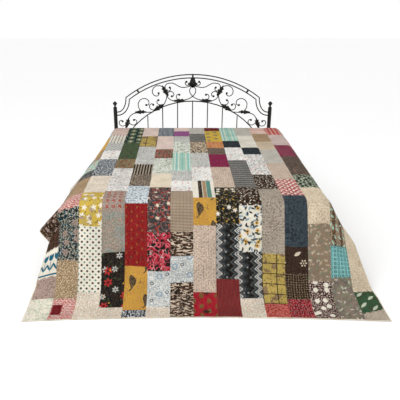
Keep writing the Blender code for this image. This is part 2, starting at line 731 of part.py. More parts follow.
def make_bed_frame(iron, wood, collection, parent):
    """Foot legs, angle iron rails, middle beam with its legs, and slats."""
    slat_top = MATTRESS_TOP - MATTRESS_DEEP - GAP
    shelf_top = slat_top - SLAT_THICK - GAP
    leg_y = FOOT_Y + LEG_INSET
    rail_x = POST_AT + ANGLE_IRON / 2
    for word, side in (("left", -1), ("right", 1)):
        leg = ((0, shelf_top), (LEG_RADIUS, shelf_top), (LEG_RADIUS, 0), (0, 0))
        turned("foot_leg_" + word, leg, (side * POST_AT, leg_y), iron, collection, parent)
        start = (side * rail_x, leg_y + LEG_RADIUS + GAP, shelf_top)
        end = (side * rail_x, HEADBOARD_Y - POST_RADIUS - GAP, shelf_top)
        angle_iron("side_rail_" + word, start, end, (-side, 0, 0), iron, collection, parent)
    foot = (POST_AT - LEG_RADIUS - GAP, leg_y + LEG_RADIUS - ANGLE_IRON, shelf_top)
    angle_iron("foot_rail", (-foot[0], foot[1], foot[2]), foot, (0, 1, 0), iron, collection, parent)

    slat_long = 2 * (rail_x - ANGLE_IRON_THICK)
    first = leg_y + SLAT_MARGIN
    last = HEADBOARD_Y - SLAT_MARGIN
    for i in range(SLATS):
        y = first + (last - first) * i / (SLATS - 1)
        centre = (0, y, slat_top - SLAT_THICK / 2)
        box(f"slat_{i + 1}", centre, (slat_long, SLAT_WIDTH, SLAT_THICK), wood, collection, parent)

    beam_low = shelf_top - BEAM
    foot_end = leg_y + LEG_RADIUS + GAP
    head_end = HEADBOARD_Y - HEAD_RAIL_RADIUS - GAP
    beam_size = (BEAM, head_end - foot_end, BEAM)
    beam_centre = (0, (foot_end + head_end) / 2, beam_low + BEAM / 2)
    box("middle_beam", beam_centre, beam_size, iron, collection, parent)
    for number, share in enumerate(MIDDLE_LEGS_AT):
        y = foot_end + (head_end - foot_end) * share
        leg = ((0, beam_low - GAP), (MIDDLE_LEG_RADIUS, beam_low - GAP), (MIDDLE_LEG_RADIUS, 0), (0, 0))
        turned(f"middle_leg_{number + 1}", leg, (0, y), iron, collection, parent, steps=12)


def main():
    clear_scene()
    collection = bpy.data.collections.new("patchwork quilt on a bed")
    bpy.context.scene.collection.children.link(collection)
    bedding = bpy.data.objects.new("bedding", None)
    frame = bpy.data.objects.new("iron_bed", None)
    for empty in (bedding, frame):
        collection.objects.link(empty)
    frame.location.x = IRON_SHIFT

    cloth = make_material("patched cotton", (0.46, 0.38, 0.31), 0.9)
    maroon = make_material("maroon cotton", (0.13, 0.012, 0.02), 0.85)
    ticking = make_material("mattress ticking", (0.80, 0.78, 0.73), 0.9)
    iron = make_material("black iron", (0.012, 0.012, 0.013), 0.45, 0.6)
    wood = make_material("pine slat", (0.55, 0.40, 0.24), 0.7)

    make_quilt(cloth, collection, bedding)
    make_sewn_patch(maroon, collection, bedding)
    make_mattress(ticking, collection, bedding)
    make_posts(iron, collection, frame)
    make_rails(iron, collection, frame)
    make_ties(iron, collection, frame)
    make_spindles(iron, collection, frame)
    make_scrollwork(iron, collection, frame)
    make_bed_frame(iron, wood, collection, frame)


main()
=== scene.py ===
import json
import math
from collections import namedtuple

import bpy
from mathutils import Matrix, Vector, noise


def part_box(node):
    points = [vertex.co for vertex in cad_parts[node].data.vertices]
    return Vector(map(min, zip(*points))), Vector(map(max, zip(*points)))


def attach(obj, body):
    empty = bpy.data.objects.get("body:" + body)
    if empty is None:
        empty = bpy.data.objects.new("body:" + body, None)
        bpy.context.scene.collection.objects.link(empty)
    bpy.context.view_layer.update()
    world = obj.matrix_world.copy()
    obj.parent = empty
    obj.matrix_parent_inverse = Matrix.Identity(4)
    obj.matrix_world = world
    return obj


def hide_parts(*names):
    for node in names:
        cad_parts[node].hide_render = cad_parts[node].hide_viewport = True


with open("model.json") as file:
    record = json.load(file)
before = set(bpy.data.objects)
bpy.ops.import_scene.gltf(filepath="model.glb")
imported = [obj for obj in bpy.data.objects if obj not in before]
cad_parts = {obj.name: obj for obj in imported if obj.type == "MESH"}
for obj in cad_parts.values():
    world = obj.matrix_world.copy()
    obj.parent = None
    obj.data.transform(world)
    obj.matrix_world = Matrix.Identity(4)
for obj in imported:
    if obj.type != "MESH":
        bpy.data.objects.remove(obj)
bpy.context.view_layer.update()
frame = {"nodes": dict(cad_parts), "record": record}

# %% [markdown]
# # A patchwork quilt on an iron bed
#
# The real quilt is hand made from scraps of printed cotton. The scraps are sewn end to end into
# fifteen long strips, the strips are sewn side by side, and a backing is held on with rows of
# running stitch. It is spread over a double bed and hangs down to the floor at the foot.
#
# The frame above holds the rigid model of the same bed: plain solids at their real size.
# Everything below is laid over them, in metres, with +Y towards the head of the bed and +Z up.

# %% [markdown]
# ## Where the camera stands
#
# The picture was taken from a little over three metres in front of the foot of the bed, at about
# eye height, looking down by a small angle. A long lens and a small sideways shift keep
# the bed in the middle. A camera needs only three facts: where it is, how it is turned, and its lens.

# %% Camera
mattress_low, mattress_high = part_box("mattress")
FOOT_Y = mattress_low[1]
CAMERA_BACK = 3.03
CAMERA_SIDE = -0.158
CAMERA_HEIGHT = 1.861
LOOK_DOWN = math.radians(22.7)
PICTURE_SIDE = 400
FOCAL_PIXELS = 491
SENSOR = 36.0
SIDE_SHIFT_PIXELS = 19

bpy.ops.object.camera_add(
    location=(CAMERA_SIDE, FOOT_Y - CAMERA_BACK, CAMERA_HEIGHT),
    rotation=(math.pi / 2 - LOOK_DOWN, 0, 0),
)
camera = bpy.context.object
camera.data.sensor_width = SENSOR
camera.data.lens = FOCAL_PIXELS / PICTURE_SIDE * SENSOR
camera.data.shift_x = SIDE_SHIFT_PIXELS / PICTURE_SIDE
bpy.context.scene.camera = camera
print("camera", round(CAMERA_BACK, 2), "m in front of the mattress, lens", round(camera.data.lens, 1), "mm")

# %% [markdown]
# ## How the cloth hangs
#
# Cloth like this bends but hardly stretches, so every point of it can be named by where it was
# when the quilt lay flat: so far across from the middle, and so far along from the head edge.
# A cloth simulation could find the drape, but it would give another shape each time a number
# changes. Here the drape is written as a rule instead: level on the mattress, round the edge,
# down a slope and out along the floor. The side flaps do the same, with their own slope at each
# place along the bed, read from a short table. They turn over the mattress in a short bend,
# which grows long and soft towards the left corner, where the cloth is pushed up into a ruffle.

# %% Sizes of the quilt and of its drape
QUILT_WIDTH = 2.286
QUILT_LENGTH = 2.743
STRIPS = 15
STRIP = QUILT_WIDTH / STRIPS
QUILT_THICK = 0.004
STRIP_PUFF = 0.0015
LAY_GAP = 0.0005
MATTRESS_ROUND = 0.045
QUILT_SHORT = 0.010
SIDE_TURN_AT = 5.5 * STRIP
SIDE_TURN = 0.080
SOFT_TURN = 0.240
SOFTER_FROM = 0.60
SOFTER_OVER = 1.20
FOOT_TURN = 0.090
FOOT_SLOPE = math.radians(66)
LANDING = 0.280
FLAP = QUILT_WIDTH / 2 - SIDE_TURN_AT
SETTLE = 0.070
HEM_BOW = 0.040
CORNER_BLEND = 0.250
CLOTH_STEP = 0.004

CLOTH_LEVEL = mattress_high[2] + LAY_GAP
HEAD_Y = mattress_high[1] - QUILT_SHORT
TURN_Y = mattress_low[1] + MATTRESS_ROUND
TOP_LONG = HEAD_Y - TURN_Y
FOOT_RADIUS = FOOT_TURN / FOOT_SLOPE
LANDING_RADIUS = LANDING / FOOT_SLOPE
TURN_DROP = FOOT_RADIUS * (1 - math.cos(FOOT_SLOPE))
LANDING_DROP = LANDING_RADIUS * (1 - math.cos(FOOT_SLOPE))
STEEP = (CLOTH_LEVEL - TURN_DROP - LANDING_DROP) / math.sin(FOOT_SLOPE)
STEEP_FROM = TOP_LONG + FOOT_TURN
LANDING_FROM = STEEP_FROM + STEEP
FLOOR_FROM = LANDING_FROM + LANDING
print("the cloth turns down at", round(TOP_LONG, 3), "and meets the floor at", round(FLOOR_FROM, 3), "m")

# %% Slopes of the two side flaps, in degrees below level
Flap = namedtuple("Flap", "along left right")
FLAPS = (
    Flap(along=0.00, left=62, right=62),
    Flap(along=0.30, left=57, right=58),
    Flap(along=0.65, left=54, right=61),
    Flap(along=1.00, left=52, right=70),
    Flap(along=1.35, left=55, right=76),
    Flap(along=1.60, left=63, right=86),
    Flap(along=1.75, left=60, right=88),
    Flap(along=1.86, left=54, right=82),
    Flap(along=1.94, left=44, right=62),
    Flap(along=1.965, left=43, right=57),
    Flap(along=1.995, left=60, right=53),
    Flap(along=2.04, left=57, right=49),
    Flap(along=2.08, left=53, right=46),
    Flap(along=2.20, left=42, right=38),
    Flap(along=2.32, left=30, right=29),
    Flap(along=2.45, left=19, right=21),
    Flap(along=2.60, left=13, right=14),
    Flap(along=2.743, left=8, right=8),
)
Fold = namedtuple("Fold", "across spread height")
FOOT_FOLDS = (
    Fold(across=-0.72, spread=0.060, height=0.013),
    Fold(across=-0.52, spread=0.075, height=-0.012),
    Fold(across=-0.30, spread=0.070, height=0.012),
    Fold(across=-0.06, spread=0.090, height=-0.009),
    Fold(across=0.17, spread=0.070, height=0.010),
    Fold(across=0.40, spread=0.080, height=-0.012),
    Fold(across=0.62, spread=0.060, height=0.013),
    Fold(across=0.79, spread=0.050, height=-0.008),
)
Wave = namedtuple("Wave", "length height start")
SIDE_WAVES = (
    Wave(length=0.47, height=0.009, start=0.4),
    Wave(length=0.29, height=0.004, start=1.9),
)
RUFFLE_AT = 1.945
RUFFLE_SPREAD = 0.045
RUFFLE_FORWARD = 0.055


# %% How far the corners pull the scraps askew: metres along for each metre across a strip
Pull = namedtuple("Pull", "along left right")
PULLS = (
    Pull(along=0.00, left=0.0, right=0.0),
    Pull(along=1.60, left=0.0, right=0.0),
    Pull(along=1.85, left=0.08, right=0.42),
    Pull(along=2.15, left=0.34, right=0.46),
    Pull(along=2.38, left=0.20, right=0.38),
    Pull(along=2.54, left=0.02, right=0.40),
    Pull(along=2.65, left=0.0, right=0.38),
    Pull(along=2.743, left=0.0, right=0.0),
)
PULLED_FROM = 5.5


# %% Smooth steps and a smooth reading of a table
def smoothstep(value):
    value = min(max(value, 0.0), 1.0)
    return value * value * (3 - 2 * value)


def table_value(table, column, along):
    """A column of a table, read at that distance along on a smooth curve through its rows."""
    rows = [(row.along, getattr(row, column)) for row in table]
    after = 1
    while after < len(rows) - 1 and rows[after][0] < along:
        after += 1
    here, there = rows[after - 1], rows[after]
    before = rows[max(after - 2, 0)]
    beyond = rows[min(after + 1, len(rows) - 1)]
    run = there[0] - here[0]
    leave = (there[1] - before[1]) / (there[0] - before[0]) * run
    arrive = (beyond[1] - here[1]) / (beyond[0] - here[0]) * run
    t = min(max((along - here[0]) / run, 0.0), 1.0)
    return (
        here[1] * (2 * t ** 3 - 3 * t ** 2 + 1)
        + leave * (t ** 3 - 2 * t ** 2 + t)
        + there[1] * (3 * t ** 2 - 2 * t ** 3)
        + arrive * (t ** 3 - t ** 2)
    )


# %% The cloth's middle line and its flaps
def foot_profile(along):
    """How far forward of the foot turn and how high the middle of the cloth is."""
    bend = min(max(along - TOP_LONG, 0.0), FOOT_TURN) / FOOT_RADIUS
    forward = FOOT_RADIUS * math.sin(bend)
    height = CLOTH_LEVEL - FOOT_RADIUS * (1 - math.cos(bend))
    steep = min(max(along - STEEP_FROM, 0.0), STEEP)
    forward += steep * math.cos(FOOT_SLOPE)
    height -= steep * math.sin(FOOT_SLOPE)
    if along > LANDING_FROM:
        slope = FOOT_SLOPE - min(along - LANDING_FROM, LANDING) / LANDING_RADIUS
        forward += LANDING_RADIUS * (math.sin(FOOT_SLOPE) - math.sin(slope))
        height = LANDING_RADIUS * (1 - math.cos(slope))
    forward += max(along - FLOOR_FROM, 0.0)
    return forward, max(height, 0.0)


def turn_length(side, along):
    """How much of the cloth is in its turn over the side: more and more towards the left corner."""
    softer = smoothstep((along - SOFTER_FROM) / SOFTER_OVER) if side < 0 else 0.0
    return SIDE_TURN + (SOFT_TURN - SIDE_TURN) * softer


def flap_run(slope, level, turn):
    """Sideways reach and drop of a flap after each short step out from the start of its turn."""
    run = [(0.0, 0.0)]
    steps = math.ceil((FLAP + SIDE_TURN) / CLOTH_STEP)
    for step in range(steps):
        reach, drop = run[-1]
        turned = slope * min((step + 0.5) * CLOTH_STEP / turn, 1.0)
        angle = turned * min(max((level - drop) / SETTLE, 0.0), 1.0)
        run.append((reach + CLOTH_STEP * math.cos(angle), drop + CLOTH_STEP * math.sin(angle)))
    return run


def drape_row(along, columns):
    """The underside of the cloth at each of those places across, in one row of the quilt."""
    forward, level = foot_profile(along)
    runs = {}
    for side, word in ((-1, "left"), (1, "right")):
        slope = math.radians(table_value(FLAPS, word, along))
        runs[side] = flap_run(slope, level, turn_length(side, along))
    past_turn = smoothstep((along - TOP_LONG) / CORNER_BLEND)
    hung = past_turn * (1 - smoothstep((along - LANDING_FROM) / LANDING))
    low_down = smoothstep((along - STEEP_FROM) / (QUILT_LENGTH - STEEP_FROM))
    pushed = math.exp(-(((along - RUFFLE_AT) / RUFFLE_SPREAD) ** 2))
    starts = SIDE_TURN_AT - SIDE_TURN / 2
    row = []
    for across in columns:
        side = -1 if across < 0 else 1
        out = max(abs(across) - starts, 0.0)
        step = min(int(out / CLOTH_STEP), len(runs[side]) - 2)
        share = out / CLOTH_STEP - step
        here, there = runs[side][step], runs[side][step + 1]
        reach = here[0] + (there[0] - here[0]) * share
        drop = here[1] + (there[1] - here[1]) * share
        x = min(abs(across), starts) + reach
        y = TURN_Y - forward if along > TOP_LONG else HEAD_Y - along
        for fold in FOOT_FOLDS:
            y -= fold.height * hung * math.exp(-(((across - fold.across) / fold.spread) ** 2))
        y -= HEM_BOW * low_down * (2 * across / QUILT_WIDTH) ** 2
        if side < 0:
            y -= RUFFLE_FORWARD * pushed * smoothstep(out / FLAP)
        hanging = smoothstep((out - SIDE_TURN) / FLAP) * (1 - past_turn)
        for wave in SIDE_WAVES:
            x += wave.height * hanging * (1 + math.sin(2 * math.pi * along / wave.length + wave.start + side))
        row.append(Vector((side * x, y, max(level - drop, 0.0))))
    return row


middle_hem = drape_row(QUILT_LENGTH, [0.0])[0]
print("the middle of the hem lies at y", round(middle_hem.y, 3), "and the head edge at", round(HEAD_Y, 3))

# %% [markdown]
# ## Which cloth goes where
#
# Each strip is a row of scraps, so the layout is a table too: for every strip, the name of each
# cloth and how far along the quilt, in metres, it ends. The strips at both sides hang down out
# of sight beside the mattress, and their hidden scraps repeat cloths that the rest shows.

# %% Scraps of the fifteen strips, from the head edge to the hem
HEM = QUILT_LENGTH
PATCHES = (
    (("rose_sprig", .31), ("tan_weave", .62), ("navy_vine", .93), ("beige_print", 1.27),
     ("slate_moss", 1.55), ("tan_weave", 1.79), ("bark_floral", 2.01), ("umber", 2.14), ("tulips", 2.36),
     ("mauve_dash", 2.54), ("pale_sage", HEM)),
    (("grey_print", .33), ("mustard", .7), ("tan_weave", 1.046), ("mint_posy", 1.304), ("slate_moss", 1.46),
     ("tan_weave", 1.786), ("rose_print", 1.94), ("night_garden", 2.29), ("tan_dots", 2.56),
     ("rose_print", HEM)),
    (("rose_stripe", .283), ("white_stripe", .553), ("grey_chevron", .793), ("white_posy", 1.046),
     ("navy_vine", 1.451), ("beige_print", 1.786), ("yellow_bloom", 2.085), ("polka", 2.514),
     ("beige_print", HEM)),
    (("medallion", .553), ("green_sprig", 1.046), ("russet", 1.275), ("white_vine", 1.762),
     ("brick_squares", 1.991), ("teal_mist", 2.255), ("black_bouquet", 2.631), ("beige_print", HEM)),
    (("pink_white", .33), ("yellow_plaid", .676), ("grey_print", 1.179), ("brown_squares", 1.422),
     ("ash_print", 1.664), ("blue_print", 1.929), ("red_motif", 2.357), ("mustard_paisley", 2.667),
     ("navy_vine", HEM)),
    (("navy_stripe", .33), ("pink_white", .753), ("red_green", 1.013), ("green_vine", 1.395),
     ("cream", 1.689), ("maroon_floral", 2.127), ("crimson_swirl", 2.373), ("blue_rings", 2.631),
     ("beige_print", HEM)),
    (("pink_white", .139), ("purple", .33), ("grey_print", .509), ("green_vine", .87),
     ("mint_stripe", 1.323), ("grey_print", 1.56), ("white_posy", 1.762), ("taupe_check", 2.119),
     ("thicket", 2.289), ("blue_rings", 2.464), ("thicket", HEM)),
    (("pale_grey", .234), ("grey_stripe", .509), ("umber_vine", .87), ("grey_print", 1.243),
     ("white_posy", 1.56), ("broad_stripe", 1.878), ("paisley_late", 2.076), ("pink_sprig", 2.524),
     ("red_olive", HEM)),
    (("red_plain", .12), ("mustard_drop", .509), ("orange_stripe", .716), ("taupe_plain", .904),
     ("magenta", 1.243), ("pink_sprig", 1.689), ("black_floral", 2.067), ("zigzag", 2.429),
     ("maroon_stripe", HEM)),
    (("mint_stripe", .482), ("night", .697), ("white_posy", 1.067), ("grey_stripe", 1.689),
     ("umber_floral", 1.948), ("blue_yellow", 2.255), ("zigzag", 2.566), ("beige_print", HEM)),
    (("pale_grey", .301), ("white_dash", .697), ("night", .904), ("grey_bloom", 1.422),
     ("umber_floral", 1.714), ("ash_squares", 2.264), ("yellow_plaid", 2.603), ("red_posy", HEM)),
    (("red_white", .234), ("tan_weave", .509), ("tan_dash", .753), ("pale_grey", 1.148),
     ("pink_sprig", 1.533), ("red_lattice", 1.834), ("slate", 2.221), ("brown_leaf", 2.391),
     ("brown_check", 2.569), ("crimson_print", HEM)),
    (("red_ogee", .264), ("pink_squares", .618), ("plum", .955), ("moss_ogee", 1.422),
     ("green_black", 1.689), ("cream_scroll", 2.067), ("taupe_green", 2.439), ("brown_dots", HEM)),
    (("grey_print", .35), ("rose_print", .71), ("slate_moss", 1.05), ("beige_print", 1.42),
     ("umber_floral", 1.6), ("cream", 1.83), ("striped_floral", 2.17), ("turquoise", 2.39),
     ("sage_grey", HEM)),
    (("tan_weave", .33), ("blue_print", .66), ("cream_scroll", .98), ("maroon_stripe", 1.28),
     ("ash_print", 1.55), ("teal_mist", 1.72), ("cream_scroll", 2.45), ("green_leaf", 2.65), ("stone", HEM)),
)
print(sum(len(strip) for strip in PATCHES), "scraps in", len(PATCHES), "strips")

# %% [markdown]
# ## The quilt's sheet
#
# The sheet starts as a flat grid, a primitive with more lines than the eye can count from the
# camera. A line of the grid falls on every seam, and two more near the edges make room for the
# hem. Each point is then moved to its place on the drape. Seams are pulled in a little where the
# thread holds them, and the cloth swells between them, so the grid is also raised and lowered
# along its own normals by a millimetre or two. Last, a Solidify modifier gives it thickness.

# %% Grid of the sheet
CELLS_A_STRIP = 15
ROW_LONG = 0.0135
HEM_WIDE = 0.006


def places(length, cell, ends):
    """Evenly spread lines over a length, with an extra one close to each end for the hem."""
    count = round(length / cell)
    lines = [length * i / count for i in range(count + 1)]
    return [0.0, ends] + lines[1:-1] + [length - ends, length]


columns = [place - QUILT_WIDTH / 2 for place in places(QUILT_WIDTH, STRIP / CELLS_A_STRIP, HEM_WIDE)]
rows = places(QUILT_LENGTH, ROW_LONG, HEM_WIDE)
print(len(columns), "lines across and", len(rows), "along")


def deselect_all():
    bpy.ops.object.select_all(action="DESELECT")


deselect_all()
bpy.ops.mesh.primitive_grid_add(x_subdivisions=len(columns) - 1, y_subdivisions=len(rows) - 1, size=2)
quilt = bpy.context.object
quilt.name = "patchwork_quilt"
sheet = quilt.data
sheet.uv_layers[0].name = "cloth"
column_of = {}
row_of = {}
for vertex in sheet.vertices:
    column_of[vertex.index] = round((vertex.co.x + 1) / 2 * (len(columns) - 1))
    row_of[vertex.index] = round((1 - vertex.co.y) / 2 * (len(rows) - 1))
draped = [drape_row(along, columns) for along in rows]
for vertex in sheet.vertices:
    vertex.co = draped[row_of[vertex.index]][column_of[vertex.index]]


def strip_of(across):
    return min(max(int((across + QUILT_WIDTH / 2) / STRIP), 0), STRIPS - 1)


def pulled(across, along, strip):
    """Where along its scrap a point of the cloth was printed, before the corner pulled it askew."""
    middle = (strip + 0.5) * STRIP - QUILT_WIDTH / 2
    if abs(middle) < PULLED_FROM * STRIP:
        return along
    slant = table_value(PULLS, "left" if middle < 0 else "right", along)
    return along + slant * (abs(across) - abs(middle))


for face in sheet.polygons:
    spots = [(columns[column_of[corner]], rows[row_of[corner]]) for corner in face.vertices]
    strip = strip_of(sum(across for across, along in spots) / len(spots))
    for loop, (across, along) in zip(face.loop_indices, spots):
        sheet.uv_layers["cloth"].data[loop].uv = (across, -pulled(across, along, strip))

# %% Seams, filling and creases
SEAM_HALF = 0.007
SEAM_DEEP = 0.0012
CRUMPLE = 0.0016
CRUMPLE_LONG = 0.050
CRUMPLE_WIDE = 0.026


def relief(across, along):
    """How far the filling lifts the cloth, less the pinch of the seams, plus small crumples."""
    share = abs(math.sin(math.pi * (across / STRIP + STRIPS / 2)))
    lift = STRIP_PUFF * share ** 0.6
    strip = strip_of(across)
    printed = pulled(across, along, strip)
    near = min(abs(printed - end) for name, end in PATCHES[strip][:-1])
    lift -= SEAM_DEEP * math.exp(-((near / SEAM_HALF) ** 2))
    spot = Vector((across / CRUMPLE_WIDE, along / CRUMPLE_LONG, 0.0))
    lift += CRUMPLE * (noise.noise(spot) + 0.5 * noise.noise(spot * 2.3))
    on_floor = smoothstep((along - LANDING_FROM) / LANDING)
    return lift * (1 - 0.75 * on_floor)


normals = [vertex.normal.copy() for vertex in sheet.vertices]
for vertex, normal in zip(sheet.vertices, normals):
    lift = relief(columns[column_of[vertex.index]], rows[row_of[vertex.index]])
    vertex.co += normal * max(lift, -STRIP_PUFF)
    vertex.co.z = max(vertex.co.z, 0.0)
print("sheet normal on the bed points", "up" if normals[len(normals) // 2].z > 0 else "down")

thick = quilt.modifiers.new("thickness", "SOLIDIFY")
thick.thickness = QUILT_THICK
thick.offset = 1
bpy.context.view_layer.objects.active = quilt
top_faces = len(sheet.polygons)
bpy.ops.object.modifier_apply(modifier="thickness")
sheet.shade_smooth()
print(len(sheet.polygons), "faces,", top_faces, "of them on one side")

# %% [markdown]
# ## Prints
#
# Every scrap is a printed cotton, and most prints are built from a few common elements: dots,
# petals, leaves, stripes, rings. A photograph could be pasted on, but then nothing could be
# changed, so each element is a small group of shader nodes that says "here, or not here". They
# read the quilt's own UV map, which is in metres of flat cloth, so a 6 mm dot is 6 mm wide
# wherever the cloth hangs. A cloth is then a ground colour with elements laid over it in order.

# %% Dyes, as the eye sees them from 0 to 255
DYES = {
    "white": (240, 238, 232), "ivory": (236, 229, 213), "cream": (228, 213, 188), "sand": (206, 184, 154),
    "tan": (166, 138, 106), "khaki": (146, 120, 86), "beige": (216, 196, 174), "blush": (222, 200, 190),
    "stone": (180, 168, 152), "mustard": (220, 168, 52), "yellow": (206, 176, 72), "straw": (190, 166, 88),
    "gold": (168, 122, 50), "olive": (108, 98, 52), "green": (44, 84, 56), "moss": (54, 66, 40),
    "leaf": (112, 140, 106), "sage": (198, 206, 182), "mint": (170, 204, 184), "jade": (84, 138, 128),
    "turquoise": (124, 190, 190), "teal": (20, 98, 122), "pine": (22, 38, 42), "slate": (46, 60, 68),
    "navy": (36, 44, 58), "night": (24, 32, 42), "sky": (140, 164, 180), "mist": (200, 208, 212),
    "silver": (201, 200, 192), "grey": (150, 151, 150), "ash": (104, 100, 95), "coal": (56, 55, 56),
    "black": (17, 16, 17), "umber": (38, 26, 20), "brown": (80, 54, 40), "russet": (144, 88, 54),
    "taupe": (140, 124, 108), "mauve": (170, 146, 136), "maroon": (92, 16, 24), "claret": (126, 42, 44),
    "red": (148, 18, 22), "brick": (162, 62, 52), "scarlet": (186, 42, 44), "crimson": (170, 20, 48),
    "coral": (220, 84, 100), "magenta": (136, 14, 70), "plum": (122, 42, 78), "purple": (150, 88, 142),
    "rose": (206, 112, 106), "pink": (222, 172, 160), "orange": (210, 126, 72), "thread": (222, 212, 192),
}
CLOTH_GIVES_BACK = 0.80


def linear(share):
    return share / 12.92 if share <= 0.04045 else ((share + 0.055) / 1.055) ** 2.4


def dye(name):
    """The share of light that the dyed cloth gives back: even white cotton keeps a fifth of it."""
    return tuple(CLOTH_GIVES_BACK * linear(level / 255) for level in DYES[name]) + (1.0,)


print(len(DYES), "dyes, mustard is", [round(level, 3) for level in dye("mustard")[:3]])


# %% Small helpers to lay nodes
def wire(tree, kind, *values, out=0, **named):
    """A new node, its inputs filled in order or by name with numbers or with other nodes' outputs."""
    made = tree.nodes.new("ShaderNode" + kind)
    # A setting's name starts with a small letter, a socket's name with a capital.
    for name, value in named.items():
        if name[0].islower():
            setattr(made, name, value)
    filled = list(zip(made.inputs, values))
    filled += [(made.inputs[name], value) for name, value in named.items() if not name[0].islower()]
    for socket, value in filled:
        if isinstance(value, bpy.types.NodeSocket):
            tree.links.new(value, socket)
        else:
            socket.default_value = value
    return made.outputs[out]


def sums(tree, operation, first, second=0.0):
    return wire(tree, "Math", first, second, operation=operation)


def blend(tree, share, below, above):
    """The colour above laid on the one below where share is 1."""
    made = tree.nodes.new("ShaderNodeMix")
    made.data_type = "RGBA"
    for socket, value in ((made.inputs[0], share), (made.inputs[6], below), (made.inputs[7], above)):
        if isinstance(value, bpy.types.NodeSocket):
            tree.links.new(value, socket)
        else:
            socket.default_value = value
    return made.outputs[2]


def under(tree, value, limit):
    return sums(tree, "LESS_THAN", value, limit)


# %% Where an element stands: scattered, or in a half-drop repeat
SEED_STEP = (0.731, 0.377)
COLUMNS_AWAY = 400.0


def scattered(tree, flat, pitch, wander, seed):
    """Place within the nearest of many scattered spots, turned its own way, and that spot's chance."""
    moved = wire(tree, "VectorMath", flat, (seed * SEED_STEP[0], seed * SEED_STEP[1], 0.0), operation="ADD")
    spots = tree.nodes.new("ShaderNodeTexVoronoi")
    spots.voronoi_dimensions = "2D"
    tree.links.new(moved, spots.inputs["Vector"])
    spots.inputs["Scale"].default_value = 1 / pitch
    spots.inputs["Randomness"].default_value = wander
    local = wire(tree, "VectorMath", moved, spots.outputs["Position"], operation="SUBTRACT")
    chance = wire(tree, "SeparateXYZ", spots.outputs["Color"])
    turn = sums(tree, "MULTIPLY", chance, 2 * math.pi)
    turned = wire(tree, "VectorRotate", Vector=local, Angle=turn, rotation_type="Z_AXIS")
    return turned, chance


def repeated(tree, flat, wide, tall, shift, drop):
    """Place within a motif of a repeat, each second column of which is dropped by that share."""
    parts = wire(tree, "SeparateXYZ", flat).node
    column = sums(tree, "ADD", sums(tree, "DIVIDE", parts.outputs[0], wide), shift[0])
    odd = sums(tree, "MODULO", sums(tree, "ADD", sums(tree, "FLOOR", column), COLUMNS_AWAY), 2.0)
    line = sums(tree, "ADD", sums(tree, "DIVIDE", parts.outputs[1], tall), sums(tree, "MULTIPLY", odd, drop))
    line = sums(tree, "ADD", line, shift[1])
    x = sums(tree, "MULTIPLY", sums(tree, "SUBTRACT", sums(tree, "FRACT", column), 0.5), wide)
    y = sums(tree, "MULTIPLY", sums(tree, "SUBTRACT", sums(tree, "FRACT", line), 0.5), tall)
    return wire(tree, "CombineXYZ", x, y, 0.0)


def length_of(tree, place):
    return wire(tree, "VectorMath", place, operation="LENGTH", out=1)


# %% Shapes of the elements
PETAL_RIPPLE = 0.28
LEAF_TAPER = 0.55


def petals(tree, place, reach, count):
    """A flower with that many round petals."""
    parts = wire(tree, "SeparateXYZ", place).node
    angle = wire(tree, "Math", parts.outputs[1], parts.outputs[0], operation="ARCTAN2")
    ripple = sums(tree, "COSINE", sums(tree, "MULTIPLY", angle, float(count)))
    waves = sums(tree, "MULTIPLY", ripple, reach * PETAL_RIPPLE)
    edge = sums(tree, "ADD", waves, reach * (1 - PETAL_RIPPLE))
    return under(tree, length_of(tree, place), edge)


def lens(tree, place, long, wide, bend=0.0, centre=(0.0, 0.0), turn=0.0):
    """A leaf that is pointed at both ends, or a drop when it is bent."""
    moved = wire(tree, "VectorMath", place, (-centre[0], -centre[1], 0.0), operation="ADD")
    if turn:
        moved = wire(tree, "VectorRotate", Vector=moved, Angle=turn, rotation_type="Z_AXIS")
    parts = wire(tree, "SeparateXYZ", moved).node
    share = sums(tree, "DIVIDE", parts.outputs[1], long / 2)
    square = sums(tree, "MULTIPLY", share, share)
    middle = sums(tree, "ADD", parts.outputs[0], sums(tree, "MULTIPLY", square, bend))
    taper = sums(tree, "ADD", 1.0, sums(tree, "MULTIPLY", share, LEAF_TAPER if bend else 0.0))
    narrowing = sums(tree, "MULTIPLY", sums(tree, "SUBTRACT", 1.0, square), taper)
    edge = sums(tree, "MULTIPLY", narrowing, wide / 2)
    return under(tree, sums(tree, "ABSOLUTE", middle), edge)


def lines(tree, value, pitch, wide):
    """Parallel lines where value counts metres across them."""
    share = sums(tree, "FRACT", sums(tree, "DIVIDE", value, pitch))
    return under(tree, share, wide / pitch)


def either(tree, *covers):
    most = covers[0]
    for cover in covers[1:]:
        most = sums(tree, "MAXIMUM", most, cover)
    return most


def tulip(tree, place, size):
    """Three upright petals on a stem that carries two leaves."""
    head = [
        lens(tree, place, size * 1.27, size * 0.50, 0.0, (side * size * 0.27, size * 1.05), side * 0.24)
        for side in (-1, 0, 1)
    ]
    stem = lens(tree, place, size * 2.4, size * 0.12, 0.0, (0.0, -size * 0.5))
    leaves = [
        lens(tree, place, size * 1.5, size * 0.34, 0.0, (side * size * 0.36, -size * 0.62), side * 0.48)
        for side in (-1, 1)
    ]
    return either(tree, *head, stem, *leaves)


# %% Elements that are scattered, and elements in a repeat
FLOWER_PETALS = {"blossom": 5, "posy": 6}
MOTIF_TALL = {"drop": 1.7, "oval": 1.7, "paisley": 2.6, "tulip": 4.5, "hoop": 1.2, "plume": 1.5}
IN_LINE = ("polka", "square", "tulip")


